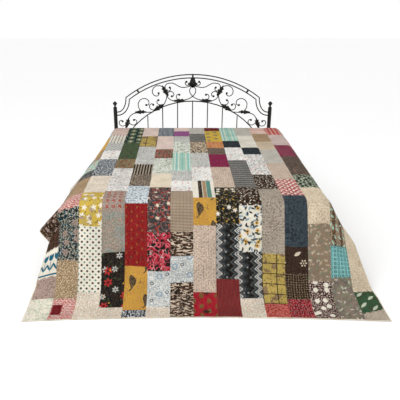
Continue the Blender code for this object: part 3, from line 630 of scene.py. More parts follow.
def scattered_element(tree, kind, place, chance, size):
    if kind in FLOWER_PETALS:
        flower = petals(tree, place, size, FLOWER_PETALS[kind])
        shown = sums(tree, "GREATER_THAN", chance, 0.45 if kind == "posy" else -1.0)
        return sums(tree, "MULTIPLY", shown, flower)
    if kind == "heart":
        shown = sums(tree, "GREATER_THAN", chance, 0.45)
        return sums(tree, "MULTIPLY", shown, under(tree, length_of(tree, place), size))
    if kind == "ring":
        rim = sums(tree, "SUBTRACT", length_of(tree, place), size)
        return under(tree, sums(tree, "ABSOLUTE", rim), size * 0.28)
    if kind == "stroke":
        return lens(tree, place, size * 2, size * 0.34, size * 0.3)
    if kind == "leaf":
        return lens(tree, place, size * 2, size * 0.8)
    return under(tree, length_of(tree, place), size)


def repeated_element(tree, kind, place, size):
    inner = wire(tree, "SeparateXYZ", place).node
    if kind == "star":
        return petals(tree, place, size, 4)
    if kind == "drop":
        return lens(tree, place, size * 2.6, size * 1.5, size * 0.45)
    if kind == "plume":
        return lens(tree, place, size * 2.2, size * 0.95, 0.0, (0.0, 0.0), 1.0)
    if kind == "paisley":
        body = lens(tree, place, size * 4.4, size * 1.9, size * 0.55)
        hook = lens(tree, place, size * 1.6, size * 0.4, 0.0, (-size * 0.6, -size * 2.1), 0.7)
        return either(tree, body, hook)
    if kind == "tulip":
        return tulip(tree, place, size)
    if kind == "hoop":
        rim = sums(tree, "SUBTRACT", length_of(tree, place), size)
        return under(tree, sums(tree, "ABSOLUTE", rim), size * 0.24)
    if kind == "oval":
        flatter = wire(tree, "VectorMath", place, (1.0, 0.62, 1.0), operation="MULTIPLY")
        return under(tree, length_of(tree, flatter), size)
    if kind == "square":
        sides = [sums(tree, "ABSOLUTE", inner.outputs[axis]) for axis in (0, 1)]
        return under(tree, sums(tree, "MAXIMUM", *sides), size)
    return under(tree, length_of(tree, place), size)


# %% Elements that run on: stripes, bars, dashes, zigzags, lattices, vines and blotches
ZIGZAG_LONG = 0.052
ZIGZAG_SLANT = 1.3
FAR = 9.0


def running_element(tree, flat, kind, pitch, size, shift):
    parts = wire(tree, "SeparateXYZ", flat).node
    across = sums(tree, "ADD", parts.outputs[0], FAR + shift[0])
    along = sums(tree, "ADD", parts.outputs[1], FAR + shift[1])
    if kind == "stripe":
        return lines(tree, across, pitch, size)
    if kind == "bar":
        return lines(tree, along, pitch, size)
    if kind == "dash":
        columns = sums(tree, "FLOOR", sums(tree, "DIVIDE", across, pitch))
        slid = sums(tree, "ADD", along, sums(tree, "MULTIPLY", columns, pitch * 0.71))
        columns_shown = lines(tree, across, pitch, size)
        return sums(tree, "MULTIPLY", columns_shown, lines(tree, slid, pitch * 1.6, pitch * 0.9))
    if kind == "brick":
        courses = sums(tree, "FLOOR", sums(tree, "DIVIDE", along, pitch))
        slid = sums(tree, "ADD", across, sums(tree, "MULTIPLY", courses, pitch * 0.9))
        courses_shown = lines(tree, along, pitch, size)
        return sums(tree, "MULTIPLY", courses_shown, lines(tree, slid, pitch * 1.8, pitch * 1.3))
    if kind == "zigzag":
        swing = sums(tree, "MULTIPLY", sums(tree, "PINGPONG", along, ZIGZAG_LONG / 2), ZIGZAG_SLANT)
        return lines(tree, sums(tree, "ADD", across, swing), pitch, size)
    lean = sums(tree, "MULTIPLY", along, 0.8)
    first = lines(tree, sums(tree, "ADD", across, lean), pitch, size)
    second = lines(tree, sums(tree, "ADD", sums(tree, "SUBTRACT", across, lean), FAR), pitch, size)
    return either(tree, first, second)


STREAK = (0.45, 1.5, 1.0)


def cloud_element(tree, flat, kind, pitch, size, seed):
    """A line where a soft cloud passes its middle level, or the ground where it is above a level."""
    if kind == "streak":
        flat = wire(tree, "VectorMath", flat, STREAK, operation="MULTIPLY")
    looks = {"Scale": 1 / pitch, "Detail": 1.5, "noise_dimensions": "4D"}
    cloud = wire(tree, "TexNoise", Vector=flat, W=seed * 1.7, **looks)
    if kind == "vine":
        return under(tree, sums(tree, "ABSOLUTE", sums(tree, "SUBTRACT", cloud, 0.5)), size)
    return sums(tree, "GREATER_THAN", cloud, size)


# %% One element of a print
def element(tree, flat, kind, pitch, size, seed, shift=(0.0, 0.0)):
    """Where that element covers the cloth, as a value of 0 or 1."""
    if kind == "band":
        parts = wire(tree, "SeparateXYZ", flat).node
        strips = sums(tree, "DIVIDE", sums(tree, "ADD", parts.outputs[0], QUILT_WIDTH / 2), STRIP)
        inside = sums(tree, "MULTIPLY", sums(tree, "FRACT", strips), STRIP)
        inside = sums(tree, "SUBTRACT", inside, pitch + size / 2)
        return under(tree, sums(tree, "ABSOLUTE", inside), size / 2)
    if kind == "rule":
        parts = wire(tree, "SeparateXYZ", flat).node
        inside = sums(tree, "ADD", parts.outputs[1], pitch)
        return under(tree, sums(tree, "ABSOLUTE", inside), size / 2)
    if kind in ("blossom", "posy", "heart", "leaf", "speck", "ring", "stroke"):
        place, chance = scattered(tree, flat, pitch, 0.75, seed + shift[0])
        return scattered_element(tree, kind, place, chance, size)
    if kind in ("stripe", "bar", "dash", "brick", "zigzag", "lattice"):
        return running_element(tree, flat, kind, pitch, size, shift)
    if kind in ("vine", "blotch", "streak"):
        return cloud_element(tree, flat, kind, pitch, size, seed)
    drop = 0.0 if kind in IN_LINE else 0.5
    place = repeated(tree, flat, pitch, pitch * MOTIF_TALL.get(kind, 1.0), shift, drop)
    return repeated_element(tree, kind, place, size)


# %% The cloths: a ground, then elements as (kind, dye, pitch or grain, size or level)
CLOTHS = {
    "rose_sprig": ("blush", (("leaf", "rose", .016, .0055), ("speck", "leaf", .02, .003))),
    "tan_weave": ("tan", (("vine", "khaki", .01, .04), ("speck", "sand", .01, .002))),
    "navy_vine": ("navy", (
        ("blotch", "mist", .012, .55), ("leaf", "white", .017, .006), ("leaf", "navy", .02, .006),
    )),
    "beige_print": ("ivory", (
        ("vine", "sand", .013, .03), ("stroke", "brick", .016, .005), ("stroke", "taupe", .014, .0052),
        ("speck", "khaki", .017, .0022), ("leaf", "blush", .024, .007),
    )),
    "green_sprig": ("green", (("blotch", "pine", .03, .6), ("speck", "russet", .02, .004))),
    "mauve_dash": ("mauve", (
        ("dash", "blush", .008, .003), ("vine", "taupe", .02, .03), ("speck", "brick", .016, .0018),
    )),
    "bark_floral": ("brown", (
        ("vine", "umber", .02, .06), ("blossom", "mauve", .036, .012), ("stroke", "sand", .022, .007),
    )),
    "umber": ("umber", (("vine", "brown", .018, .06), ("leaf", "russet", .026, .006))),
    "tulips": ("ivory", (("tulip", "teal", .055, .045, (.536, .6)), ("rule", "teal", 2.342, .013))),
    "pale_sage": ("ivory", (
        ("vine", "sage", .04, .022), ("stroke", "leaf", .03, .007), ("stroke", "tan", .03, .007),
        ("speck", "pink", .05, .0035), ("leaf", "sage", .045, .01),
    )),
    "grey_print": ("silver", (
        ("vine", "grey", .016, .045), ("leaf", "ash", .026, .0075), ("speck", "white", .014, .0035),
    )),
    "mustard": ("mustard", (
        ("blotch", "orange", .022, .6), ("speck", "ivory", .024, .003), ("speck", "gold", .016, .002),
    )),
    "mint_posy": ("mint", (
        ("leaf", "leaf", .032, .01), ("posy", "scarlet", .042, .013), ("speck", "white", .022, .005),
    )),
    "slate_moss": ("coal", (
        ("vine", "grey", .016, .03), ("leaf", "taupe", .024, .006), ("blotch", "slate", .03, .58),
    )),
    "rose_print": ("blush", (("vine", "rose", .012, .045), ("brick", "brick", .0145, .005))),
    "night_garden": ("pine", (
        ("vine", "teal", .034, .014), ("stroke", "cream", .021, .009), ("stroke", "sage", .025, .0105),
        ("stroke", "stone", .018, .007), ("posy", "pine", .076, .031, (3, 0)),
        ("posy", "mauve", .076, .026, (3, 0)), ("heart", "taupe", .076, .009, (3, 0)),
    )),
    "tan_dots": ("khaki", (
        ("vine", "tan", .012, .04), ("speck", "cream", .013, .0026), ("speck", "sand", .03, .005),
    )),
    "rose_stripe": ("blush", (("bar", "brick", .016, .006), ("stripe", "ivory", .012, .003))),
    "white_stripe": ("ivory", (("stripe", "coal", .03, .007), ("stripe", "ash", .03, .002, (.012, 0.0)))),
    "grey_chevron": ("silver", (
        ("zigzag", "slate", .034, .01), ("zigzag", "white", .034, .005, (.015, 0.0)),
    )),
    "white_posy": ("white", (
        ("leaf", "grey", .03, .007), ("posy", "rose", .046, .01), ("speck", "mauve", .024, .003),
    )),
    "yellow_bloom": ("yellow", (
        ("leaf", "olive", .04, .009), ("blotch", "straw", .03, .55), ("blossom", "ivory", .058, .02),
        ("posy", "mauve", .062, .016), ("speck", "gold", .058, .005),
    )),
    "polka": ("ivory", (("polka", "jade", .038, .0062, (.5, .5)), ("polka", "umber", .038, .0074))),
    "medallion": ("pine", (
        ("oval", "leaf", .074, .03), ("oval", "moss", .074, .022), ("oval", "sand", .074, .014),
    )),
    "russet": ("russet", (
        ("blotch", "tan", .018, .52), ("vine", "umber", .018, .03), ("speck", "leaf", .024, .006),
    )),
    "white_vine": ("white", (
        ("vine", "grey", .02, .028), ("leaf", "mauve", .024, .007), ("speck", "brick", .04, .004),
    )),
    "brick_squares": ("mauve", (
        ("vine", "taupe", .012, .06), ("square", "brick", .042, .0095), ("speck", "silver", .012, .002),
    )),
    "teal_mist": ("mauve", (
        ("blotch", "grey", .15, .5), ("vine", "taupe", .016, .06), ("vine", "jade", .022, .018),
        ("blotch", "jade", .01, .66), ("stroke", "brick", .03, .006), ("speck", "stone", .012, .003),
    )),
    "black_bouquet": ("umber", (
        ("vine", "black", .03, .06), ("leaf", "moss", .06, .014), ("posy", "silver", .088, .022, (7, 0)),
        ("heart", "ash", .088, .007, (7, 0)), ("posy", "scarlet", .096, .03, (2, 0)),
        ("heart", "maroon", .096, .01, (2, 0)), ("speck", "mustard", .14, .005),
    )),
    "pink_white": ("blush", (("leaf", "ivory", .018, .006), ("speck", "rose", .022, .0026))),
    "yellow_plaid": ("straw", (
        ("blotch", "khaki", .06, .55), ("vine", "brown", .024, .012), ("bar", "umber", .068, .005),
        ("stripe", "umber", .096, .006, (.028, 0.0)),
    )),
    "brown_squares": ("umber", (("square", "cream", .022, .0048), ("dot", "tan", .022, .002))),
    "ash_print": ("taupe", (("vine", "umber", .012, .05), ("leaf", "cream", .02, .005))),
    "blue_print": ("mist", (
        ("bar", "sky", .022, .007), ("leaf", "slate", .028, .009), ("speck", "white", .02, .005),
    )),
    "red_motif": ("red", (
        ("drop", "gold", .036, .0062), ("drop", "red", .036, .0036), ("vine", "maroon", .02, .02),
    )),
    "mustard_paisley": ("mustard", (
        ("vine", "orange", .018, .016), ("speck", "gold", .024, .0022),
        ("paisley", "umber", .096, .0235, (.479, .852)), ("speck", "khaki", .0085, .0026),
    )),
    "paisley_late": ("mustard", (
        ("vine", "orange", .018, .016), ("speck", "gold", .024, .0022),
        ("paisley", "umber", .096, .0235, (.812, .4)), ("speck", "khaki", .0085, .0026),
    )),
    "navy_stripe": ("navy", (("stripe", "silver", .012, .0035), ("speck", "sky", .016, .004))),
    "red_green": ("green", (
        ("blotch", "claret", .03, .5), ("leaf", "sand", .028, .008), ("speck", "rose", .022, .005),
    )),
    "green_vine": ("white", (
        ("vine", "leaf", .024, .032), ("leaf", "coal", .032, .009), ("speck", "sage", .026, .007),
    )),
    "cream": ("cream", (
        ("bar", "sand", .02, .002), ("stroke", "sand", .02, .007), ("speck", "ivory", .012, .003),
    )),
    "maroon_floral": ("coal", (
        ("blotch", "claret", .05, .6), ("vine", "mauve", .03, .016), ("stroke", "brick", .026, .009),
        ("posy", "cream", .07, .014), ("leaf", "brick", .052, .013),
    )),
    "crimson_swirl": ("black", (
        ("vine", "crimson", .046, .045), ("vine", "coral", .04, .022), ("vine", "blush", .046, .009),
        ("ring", "coral", .07, .013), ("stroke", "black", .03, .01),
    )),
    "blue_rings": ("silver", (
        ("vine", "white", .018, .035), ("speck", "sky", .013, .0032), ("leaf", "sky", .03, .006),
        ("hoop", "sky", .1, .016, (.5, .1)), ("hoop", "navy", .1, .0095, (0.0, 0.0)),
    )),
    "purple": ("purple", (("speck", "plum", .012, .003),)),
    "mint_stripe": ("mint", (
        ("stripe", "white", .03, .005), ("stripe", "turquoise", .05, .008), ("speck", "leaf", .016, .002),
    )),
    "taupe_check": ("taupe", (
        ("brick", "umber", .01, .0028), ("stripe", "brown", .024, .002), ("bar", "sand", .01, .0028),
    )),
    "thicket": ("beige", (
        ("streak", "brown", .017, .48), ("streak", "umber", .015, .53), ("stroke", "cream", .03, .008),
    )),
    "pale_grey": ("silver", (
        ("vine", "grey", .02, .018), ("speck", "taupe", .014, .003), ("dash", "beige", .01, .003),
    )),
    "stone": ("stone", (("vine", "taupe", .012, .035), ("speck", "cream", .012, .003))),
    "grey_stripe": ("ash", (
        ("bar", "coal", .022, .007), ("bar", "silver", .044, .0035, (0.0, .012)),
        ("speck", "grey", .012, .002),
    )),
    "umber_vine": ("umber", (("vine", "sand", .018, .06), ("leaf", "cream", .024, .008))),
    "broad_stripe": ("ivory", (
        ("band", "umber", .04, .027), ("band", "tan", .071, .026), ("band", "jade", .099, .03),
        ("stroke", "sand", .016, .004),
    )),
    "pink_sprig": ("beige", (
        ("vine", "mauve", .014, .035), ("dash", "taupe", .016, .0028), ("stroke", "brown", .026, .0055),
        ("leaf", "blush", .024, .006),
    )),
    "red_olive": ("crimson", (
        ("oval", "olive", .05, .0135), ("vine", "red", .014, .04), ("stroke", "moss", .024, .004),
        ("posy", "umber", .13, .026),
    )),
    "red_plain": ("maroon", (("speck", "red", .012, .003),)),
    "mustard_drop": ("yellow", (
        ("blotch", "mustard", .018, .58), ("oval", "ash", .07, .017), ("oval", "straw", .07, .008),
    )),
    "orange_stripe": ("orange", (
        ("zigzag", "brick", .026, .007), ("zigzag", "straw", .036, .007), ("leaf", "sage", .034, .009),
    )),
    "taupe_plain": ("brown", (("blotch", "ash", .02, .5), ("dash", "tan", .01, .0022))),
    "magenta": ("magenta", (("bar", "maroon", .032, .005), ("speck", "plum", .014, .0035))),
    "black_floral": ("black", (
        ("stroke", "olive", .026, .01), ("leaf", "olive", .034, .008), ("stroke", "sand", .036, .01),
        ("posy", "ivory", .056, .017), ("speck", "mustard", .056, .005),
    )),
    "zigzag": ("black", (
        ("zigzag", "slate", .067, .014, (.032, 0.0)), ("zigzag", "black", .067, .004, (.026, 0.0)),
        ("zigzag", "grey", .067, .003, (.044, 0.0)), ("zigzag", "white", .134, .0078, (0.0, 0.0)),
        ("zigzag", "white", .134, .0066, (.017, 0.0)), ("speck", "grey", .08, .006),
    )),
    "maroon_stripe": ("claret", (("stripe", "maroon", .01, .004), ("speck", "brick", .012, .002))),
    "night": ("night", (("speck", "slate", .012, .003),)),
    "umber_floral": ("umber", (
        ("leaf", "black", .026, .009), ("stroke", "russet", .018, .006), ("leaf", "ivory", .03, .0085),
        ("stroke", "sand", .028, .008),
    )),
    "blue_yellow": ("ivory", (
        ("vine", "sage", .03, .018), ("leaf", "sky", .05, .017), ("leaf", "slate", .04, .0155),
        ("posy", "mustard", .062, .018, (5, 0)), ("heart", "umber", .062, .006, (5, 0)),
        ("leaf", "night", .058, .015),
    )),
    "white_dash": ("ivory", (("dash", "slate", .012, .0026),)),
    "grey_bloom": ("white", (
        ("leaf", "ash", .032, .011), ("posy", "pink", .044, .013), ("vine", "grey", .022, .024),
    )),
    "ash_squares": ("stone", (
        ("square", "ash", .0185, .0062), ("square", "cream", .0185, .0036), ("vine", "taupe", .03, .02),
        ("speck", "umber", .02, .0028),
    )),
    "red_posy": ("rose", (
        ("blotch", "brick", .012, .5), ("speck", "brick", .01, .0026), ("posy", "maroon", .11, .02),
    )),
    "red_white": ("ivory", (("bar", "scarlet", .06, .012), ("lattice", "rose", .03, .005))),
    "tan_dash": ("sand", (("dash", "taupe", .014, .004), ("speck", "ivory", .016, .003))),
    "red_lattice": ("ivory", (("lattice", "crimson", .044, .012), ("square", "crimson", .0275, .0068))),
    "slate": ("slate", (("dash", "sky", .0085, .0011), ("vine", "night", .02, .03))),
    "brown_leaf": ("umber", (
        ("stripe", "brown", .008, .002), ("posy", "cream", .098, .025, (4, 0)),
        ("heart", "umber", .098, .013, (4, 0)), ("heart", "sand", .098, .006, (4, 0)),
        ("plume", "cream", .096, .023, (.1, .2)), ("stroke", "umber", .022, .006),
    )),
    "brown_check": ("umber", (
        ("stripe", "tan", .0165, .002), ("bar", "tan", .0165, .002), ("speck", "black", .014, .004),
    )),
    "crimson_print": ("crimson", (
        ("vine", "maroon", .02, .06), ("stroke", "blush", .015, .0055), ("leaf", "rose", .02, .005),
    )),
    "red_ogee": ("scarlet", (("star", "ivory", .04, .016), ("star", "scarlet", .04, .008))),
    "pink_squares": ("blush", (("square", "ash", .0155, .0046), ("square", "blush", .0155, .0026))),
    "plum": ("plum", (("dash", "rose", .012, .003), ("speck", "maroon", .014, .0035))),
    "moss_ogee": ("coal", (
        ("lattice", "black", .04, .006), ("vine", "taupe", .02, .024), ("speck", "russet", .026, .005),
    )),
    "green_black": ("black", (
        ("blossom", "sage", .03, .012), ("leaf", "leaf", .024, .008), ("stroke", "sage", .022, .008),
    )),
    "cream_scroll": ("cream", (
        ("vine", "sand", .024, .03), ("stroke", "tan", .019, .0085), ("speck", "khaki", .022, .0022),
    )),
    "taupe_green": ("taupe", (
        ("vine", "khaki", .018, .06), ("leaf", "sand", .046, .02), ("leaf", "leaf", .056, .018),
        ("leaf", "cream", .06, .014), ("vine", "taupe", .01, .055),
    )),
    "brown_dots": ("brown", (
        ("vine", "umber", .014, .07), ("speck", "blush", .012, .0033), ("speck", "ivory", .062, .016),
    )),
    "striped_floral": ("stone", (
        ("vine", "khaki", .014, .055), ("stripe", "brown", .072, .032, (.01, 0.0)),
        ("dash", "umber", .012, .005), ("speck", "tan", .012, .003), ("leaf", "mint", .05, .017),
        ("leaf", "sand", .04, .007),
    )),
    "turquoise": ("turquoise", (
        ("speck", "mint", .014, .003), ("square", "slate", .0285, .0085),
        ("square", "turquoise", .0285, .0054), ("dot", "slate", .0285, .0026),
    )),
    "sage_grey": ("taupe", (
        ("vine", "ash", .04, .07), ("leaf", "leaf", .056, .019), ("leaf", "ivory", .06, .013),
        ("stroke", "stone", .02, .006), ("leaf", "sage", .09, .018), ("vine", "taupe", .01, .045),
    )),
    "green_leaf": ("moss", (
        ("vine", "green", .04, .05), ("plume", "sage", .066, .026), ("stroke", "leaf", .016, .0045),
    )),
}
print(len(CLOTHS), "cloths")

# %% [markdown]
# ## Running stitch and a hand-made surface
#
# The filling is held by rows of running stitch, less than a centimetre apart, that follow the
# strips from the head to the hem. Each row pulls the cloth in, so it lies in low ridges, and the
# thread shows as a dashed line. Thread this thin would cost millions of faces, so it is colour
# and bump in the material. Every cloth gets the same finish after its print.

# %% Finish shared by all the cloths
STITCH_ROW = STRIP / 18
STITCH_LONG = 0.0085
STITCH_SHARE = 0.55
STITCHES_AWAY = 900.0
THREAD_WIDE = 0.0006
THREAD_COVERS = 0.5
PUCKER_SCALE = (70.0, 150.0, 1.0)


def cloth_finish(tree, flat, colour, thread):
    shader = tree.nodes["Principled BSDF"]
    parts = wire(tree, "SeparateXYZ", flat).node
    across = sums(tree, "ADD", parts.outputs[0], QUILT_WIDTH / 2)
    along = parts.outputs[1]
    share = sums(tree, "DIVIDE", across, STITCH_ROW)
    row = sums(tree, "FLOOR", share)
    inside = sums(tree, "SUBTRACT", sums(tree, "FRACT", share), 0.5)
    near = sums(tree, "ABSOLUTE", inside)
    start = wire(tree, "TexWhiteNoise", W=row, noise_dimensions="1D")
    step = sums(tree, "ADD", sums(tree, "DIVIDE", along, STITCH_LONG), start)
    on_top = under(tree, sums(tree, "FRACT", sums(tree, "ADD", step, STITCHES_AWAY)), STITCH_SHARE)
    seen = sums(tree, "MULTIPLY", under(tree, near, THREAD_WIDE / 2 / STITCH_ROW), on_top)

    fade = wire(tree, "TexNoise", Vector=flat, Scale=9.0, Detail=2.0, noise_dimensions="2D")
    grain = wire(tree, "TexNoise", Vector=flat, Scale=420.0, Detail=1.0, noise_dimensions="2D")
    worn = wire(tree, "MapRange", fade, 0.3, 0.7, 0.90, 1.08)
    heather = wire(tree, "MapRange", grain, 0.25, 0.75, 0.84, 1.14)
    level = sums(tree, "MULTIPLY", worn, heather)
    shade = wire(tree, "VectorMath", colour, operation="SCALE", Scale=level)
    sewn = blend(tree, sums(tree, "MULTIPLY", seen, THREAD_COVERS), shade, thread)
    tree.links.new(sewn, shader.inputs["Base Color"])

    stretched = wire(tree, "Mapping", Vector=flat, Scale=PUCKER_SCALE)
    pucker = wire(tree, "TexNoise", Vector=stretched, Scale=1.0, Detail=2.0, noise_dimensions="2D")
    ridge = sums(tree, "POWER", sums(tree, "SUBTRACT", 1.0, sums(tree, "MULTIPLY", near, 1.6)), 0.5)
    valley = sums(tree, "SUBTRACT", 1.0, ridge)
    height = sums(tree, "ADD", sums(tree, "MULTIPLY", valley, 1.2), pucker)
    height = sums(tree, "ADD", height, sums(tree, "MULTIPLY", grain, 0.12))
    bump = wire(tree, "Bump", Height=height, Strength=0.75, Distance=0.0022)
    tree.links.new(bump, shader.inputs["Normal"])
    matt = wire(tree, "MapRange", grain, 0.3, 0.7, 0.78, 0.95)
    tree.links.new(matt, shader.inputs["Roughness"])
    shader.inputs["Specular IOR Level"].default_value = 0.04


def cloth_material(name, ground, layers):
    material = bpy.data.materials.new(name)
    material.use_nodes = True
    tree = material.node_tree
    flat = wire(tree, "UVMap", uv_map="cloth")
    colour = dye(ground)
    for number, (kind, ink, *sizes) in enumerate(layers):
        pitch, size, *shift = sizes
        seed = 0 if shift else number + len(name)
        cover = element(tree, flat, kind, pitch, size, seed, *shift)
        colour = blend(tree, cover, colour, dye(ink))
    if not isinstance(colour, bpy.types.NodeSocket):
        colour = blend(tree, 0.0, colour, colour)
    cloth_finish(tree, flat, colour, dye("thread"))
    return material


# %% Make the cloths and give each scrap its own
names = sorted({name for strip in PATCHES for name, end in strip})
missing = [name for name in names if name not in CLOTHS]
print(len(names), "cloths used, missing:", missing)
for name in names:
    sheet.materials.append(cloth_material(name, *CLOTHS[name]))
BACKING = len(names)
sheet.materials.append(cloth_material("backing_cloth", "cream", (("blotch", "ivory", .05, .5),)))


def cloth_at(across, along):
    for name, end in PATCHES[strip_of(across)]:
        if along <= end:
            return names.index(name)
    return BACKING


flat_map = sheet.uv_layers["cloth"].data
for face in sheet.polygons:
    spots = [flat_map[loop].uv for loop in face.loop_indices]
    across = sum(spot.x for spot in spots) / len(spots)
    along = -sum(spot.y for spot in spots) / len(spots)
    edge = min(QUILT_WIDTH / 2 - abs(across), along, QUILT_LENGTH - along)
    shown = face.index < top_faces and edge > HEM_WIDE
    face.material_index = cloth_at(across, along) if shown else BACKING
for half in (sheet.polygons[:top_faces], sheet.polygons[top_faces:2 * top_faces]):
    print("mean height of one side", round(sum(face.center.z for face in half) / top_faces, 4))

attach(quilt, "root")
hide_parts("quilt")

# %% [markdown]
# ## The sewn-on patch
#
# A small oblong of dark red cloth is sewn on by hand near the hem. It is a sheet of its own,
# so it is made the same way: a flat grid, laid over the quilt by the same drape, lifted by the
# thickness of the quilt. A row of pale thread runs round it a few millimetres inside its edge.

# %% Grid of the patch
SEWN_SIDES = (-0.983, -0.921)
SEWN_ENDS = (2.600, 2.692)
SEWN_THICK = 0.001
SEWN_LIFT = 0.0008
SEWN_CELLS = (12, 18)

deselect_all()
bpy.ops.mesh.primitive_grid_add(x_subdivisions=SEWN_CELLS[0], y_subdivisions=SEWN_CELLS[1], size=2)
patch = bpy.context.object
patch.name = "sewn_on_patch"
patch.data.uv_layers[0].name = "cloth"


def spread(ends, cells):
    return [ends[0] + (ends[1] - ends[0]) * i / cells for i in range(cells + 1)]


patch_columns = spread(SEWN_SIDES, SEWN_CELLS[0])
patch_rows = spread(SEWN_ENDS, SEWN_CELLS[1])
flat_of = {}
for vertex in patch.data.vertices:
    column = round((vertex.co.x + 1) / 2 * SEWN_CELLS[0])
    row = round((1 - vertex.co.y) / 2 * SEWN_CELLS[1])
    flat_of[vertex.index] = (patch_columns[column], patch_rows[row], column)
for vertex in patch.data.vertices:
    across, along, column = flat_of[vertex.index]
    vertex.co = drape_row(along, patch_columns)[column]
for loop in patch.data.loops:
    across, along, column = flat_of[loop.vertex_index]
    patch.data.uv_layers["cloth"].data[loop.index].uv = (across, -along)
patch_normals = [vertex.normal.copy() for vertex in patch.data.vertices]
for vertex, normal in zip(patch.data.vertices, patch_normals):
    across, along, column = flat_of[vertex.index]
    vertex.co.z = max(vertex.co.z, 0.0)
    vertex.co += normal * (QUILT_THICK + SEWN_LIFT + max(relief(across, along), 0.0))
hem = patch.modifiers.new("thickness", "SOLIDIFY")
hem.thickness = SEWN_THICK
hem.offset = 1
bpy.context.view_layer.objects.active = patch
bpy.ops.object.modifier_apply(modifier="thickness")
patch.data.shade_smooth()


def edge_of(tree, flat, inset, wide):
    """A thin line round the patch, a little inside its edge."""
    parts = wire(tree, "SeparateXYZ", flat).node
    middle = (sum(SEWN_SIDES) / 2, -sum(SEWN_ENDS) / 2)
    halves = ((SEWN_SIDES[1] - SEWN_SIDES[0]) / 2 - inset, (SEWN_ENDS[1] - SEWN_ENDS[0]) / 2 - inset)
    beyond = []
    for place, centre, half in zip(parts.outputs, middle, halves):
        far = sums(tree, "ABSOLUTE", sums(tree, "SUBTRACT", place, centre))
        beyond.append(sums(tree, "SUBTRACT", far, half))
    outside = sums(tree, "MAXIMUM", *beyond)
    line = under(tree, sums(tree, "ABSOLUTE", outside), wide / 2)
    run = sums(tree, "ADD", sums(tree, "ADD", parts.outputs[0], parts.outputs[1]), 9.0)
    stitches = under(tree, sums(tree, "FRACT", sums(tree, "DIVIDE", run, STITCH_LONG)), 0.6)
    return sums(tree, "MULTIPLY", line, stitches)


sewn_cotton = bpy.data.materials.new("sewn_patch_cotton")
sewn_cotton.use_nodes = True
tree = sewn_cotton.node_tree
flat = wire(tree, "UVMap", uv_map="cloth")
colour = blend(tree, element(tree, flat, "vine", .012, .050, 3), dye("claret"), dye("maroon"))
colour = blend(tree, edge_of(tree, flat, .004, .0012), colour, dye("rose"))
cloth_finish(tree, flat, colour, dye("brick"))
patch.data.materials.append(sewn_cotton)

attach(patch, "root")
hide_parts("sewn_patch")

# %% [markdown]
# ## Mattress
#
# The quilt hides all of the mattress but a part of its sides and its head end. It is a plain
# sprung one: a striped ticking cover with rounded corners, a cord of piping round the top and the
# bottom seam, and sides that swell a little between them. It starts as a block, is rounded in
# edit mode, and is then swelled.

# %% Body of the mattress
MATTRESS_CORNER = 0.100
MATTRESS_INSET = 0.006
MATTRESS_RIM = 0.030
SIDE_SWELL = 0.005
SWELL_UNEVEN = 0.4
SWELL_SPOTS_A_METRE = 9.0
PIPING_RADIUS = 0.005
CORNER_STEPS = 8


def edit_mode():
    bpy.ops.object.mode_set(mode="EDIT")


def object_mode():
    bpy.ops.object.mode_set(mode="OBJECT")


def select_edges(mesh, wanted):
    """Mark the edges for which wanted(start, end) is true, from object mode."""
    for part in (mesh.polygons, mesh.edges, mesh.vertices):
        part.foreach_set("select", [False] * len(part))
    count = 0
    for edge in mesh.edges:
        start, end = (mesh.vertices[corner].co for corner in edge.vertices)
        edge.select = wanted(start, end)
        count += edge.select
    return count


middle = [(low + high) / 2 for low, high in zip(mattress_low, mattress_high)]
size = [high - low - 2 * MATTRESS_INSET for low, high in zip(mattress_low, mattress_high)]
deselect_all()
bpy.ops.mesh.primitive_cube_add(size=1, location=middle)
mattress = bpy.context.object
mattress.name = "mattress_body"
mattress.scale = size
bpy.ops.object.transform_apply(location=True, rotation=True, scale=True)
upright = select_edges(mattress.data, lambda start, end: abs(start.z - end.z) > size[2] / 2)
edit_mode()
bpy.context.tool_settings.mesh_select_mode = (False, True, False)
bpy.ops.mesh.bevel(offset=MATTRESS_CORNER, segments=8, affect="EDGES")
object_mode()
rims = select_edges(mattress.data, lambda start, end: abs(start.z - end.z) < 1e-6)
edit_mode()
bpy.ops.mesh.bevel(offset=MATTRESS_RIM, segments=5, affect="EDGES")
bpy.ops.mesh.select_all(action="SELECT")
bpy.ops.mesh.normals_make_consistent(inside=False)
object_mode()
print(upright, "corner edges and", rims, "rim edges rounded")

# %% Swell its sides and sew on the piping
deselect_all()
mattress.select_set(True)
bpy.context.view_layer.objects.active = mattress
finer = mattress.modifiers.new("finer", "SUBSURF")
finer.subdivision_type = "SIMPLE"
finer.levels = 2
finer.render_levels = 2
bpy.ops.object.modifier_apply(modifier="finer")
outwards = [Vector((vertex.normal.x, vertex.normal.y, 0.0)) for vertex in mattress.data.vertices]
for vertex, outward in zip(mattress.data.vertices, outwards):
    height = (vertex.co.z - middle[2]) / (size[2] / 2)
    uneven = 1 - SWELL_UNEVEN / 2 + SWELL_UNEVEN * noise.noise(vertex.co * SWELL_SPOTS_A_METRE)
    vertex.co += outward * SIDE_SWELL * max(1 - height * height, 0.0) * uneven
mattress.data.shade_smooth()


def ring_points(half_wide, half_long, corner, height):
    """Points round an oblong with round corners, at one height."""
    points = []
    for quarter in range(4):
        centre_x = (half_wide - corner) * (1 if quarter in (0, 3) else -1)
        centre_y = (half_long - corner) * (1 if quarter in (0, 1) else -1)
        for step in range(CORNER_STEPS + 1):
            angle = math.pi / 2 * (quarter + step / CORNER_STEPS)
            points.append((centre_x + corner * math.cos(angle), centre_y + corner * math.sin(angle), height))
    return points


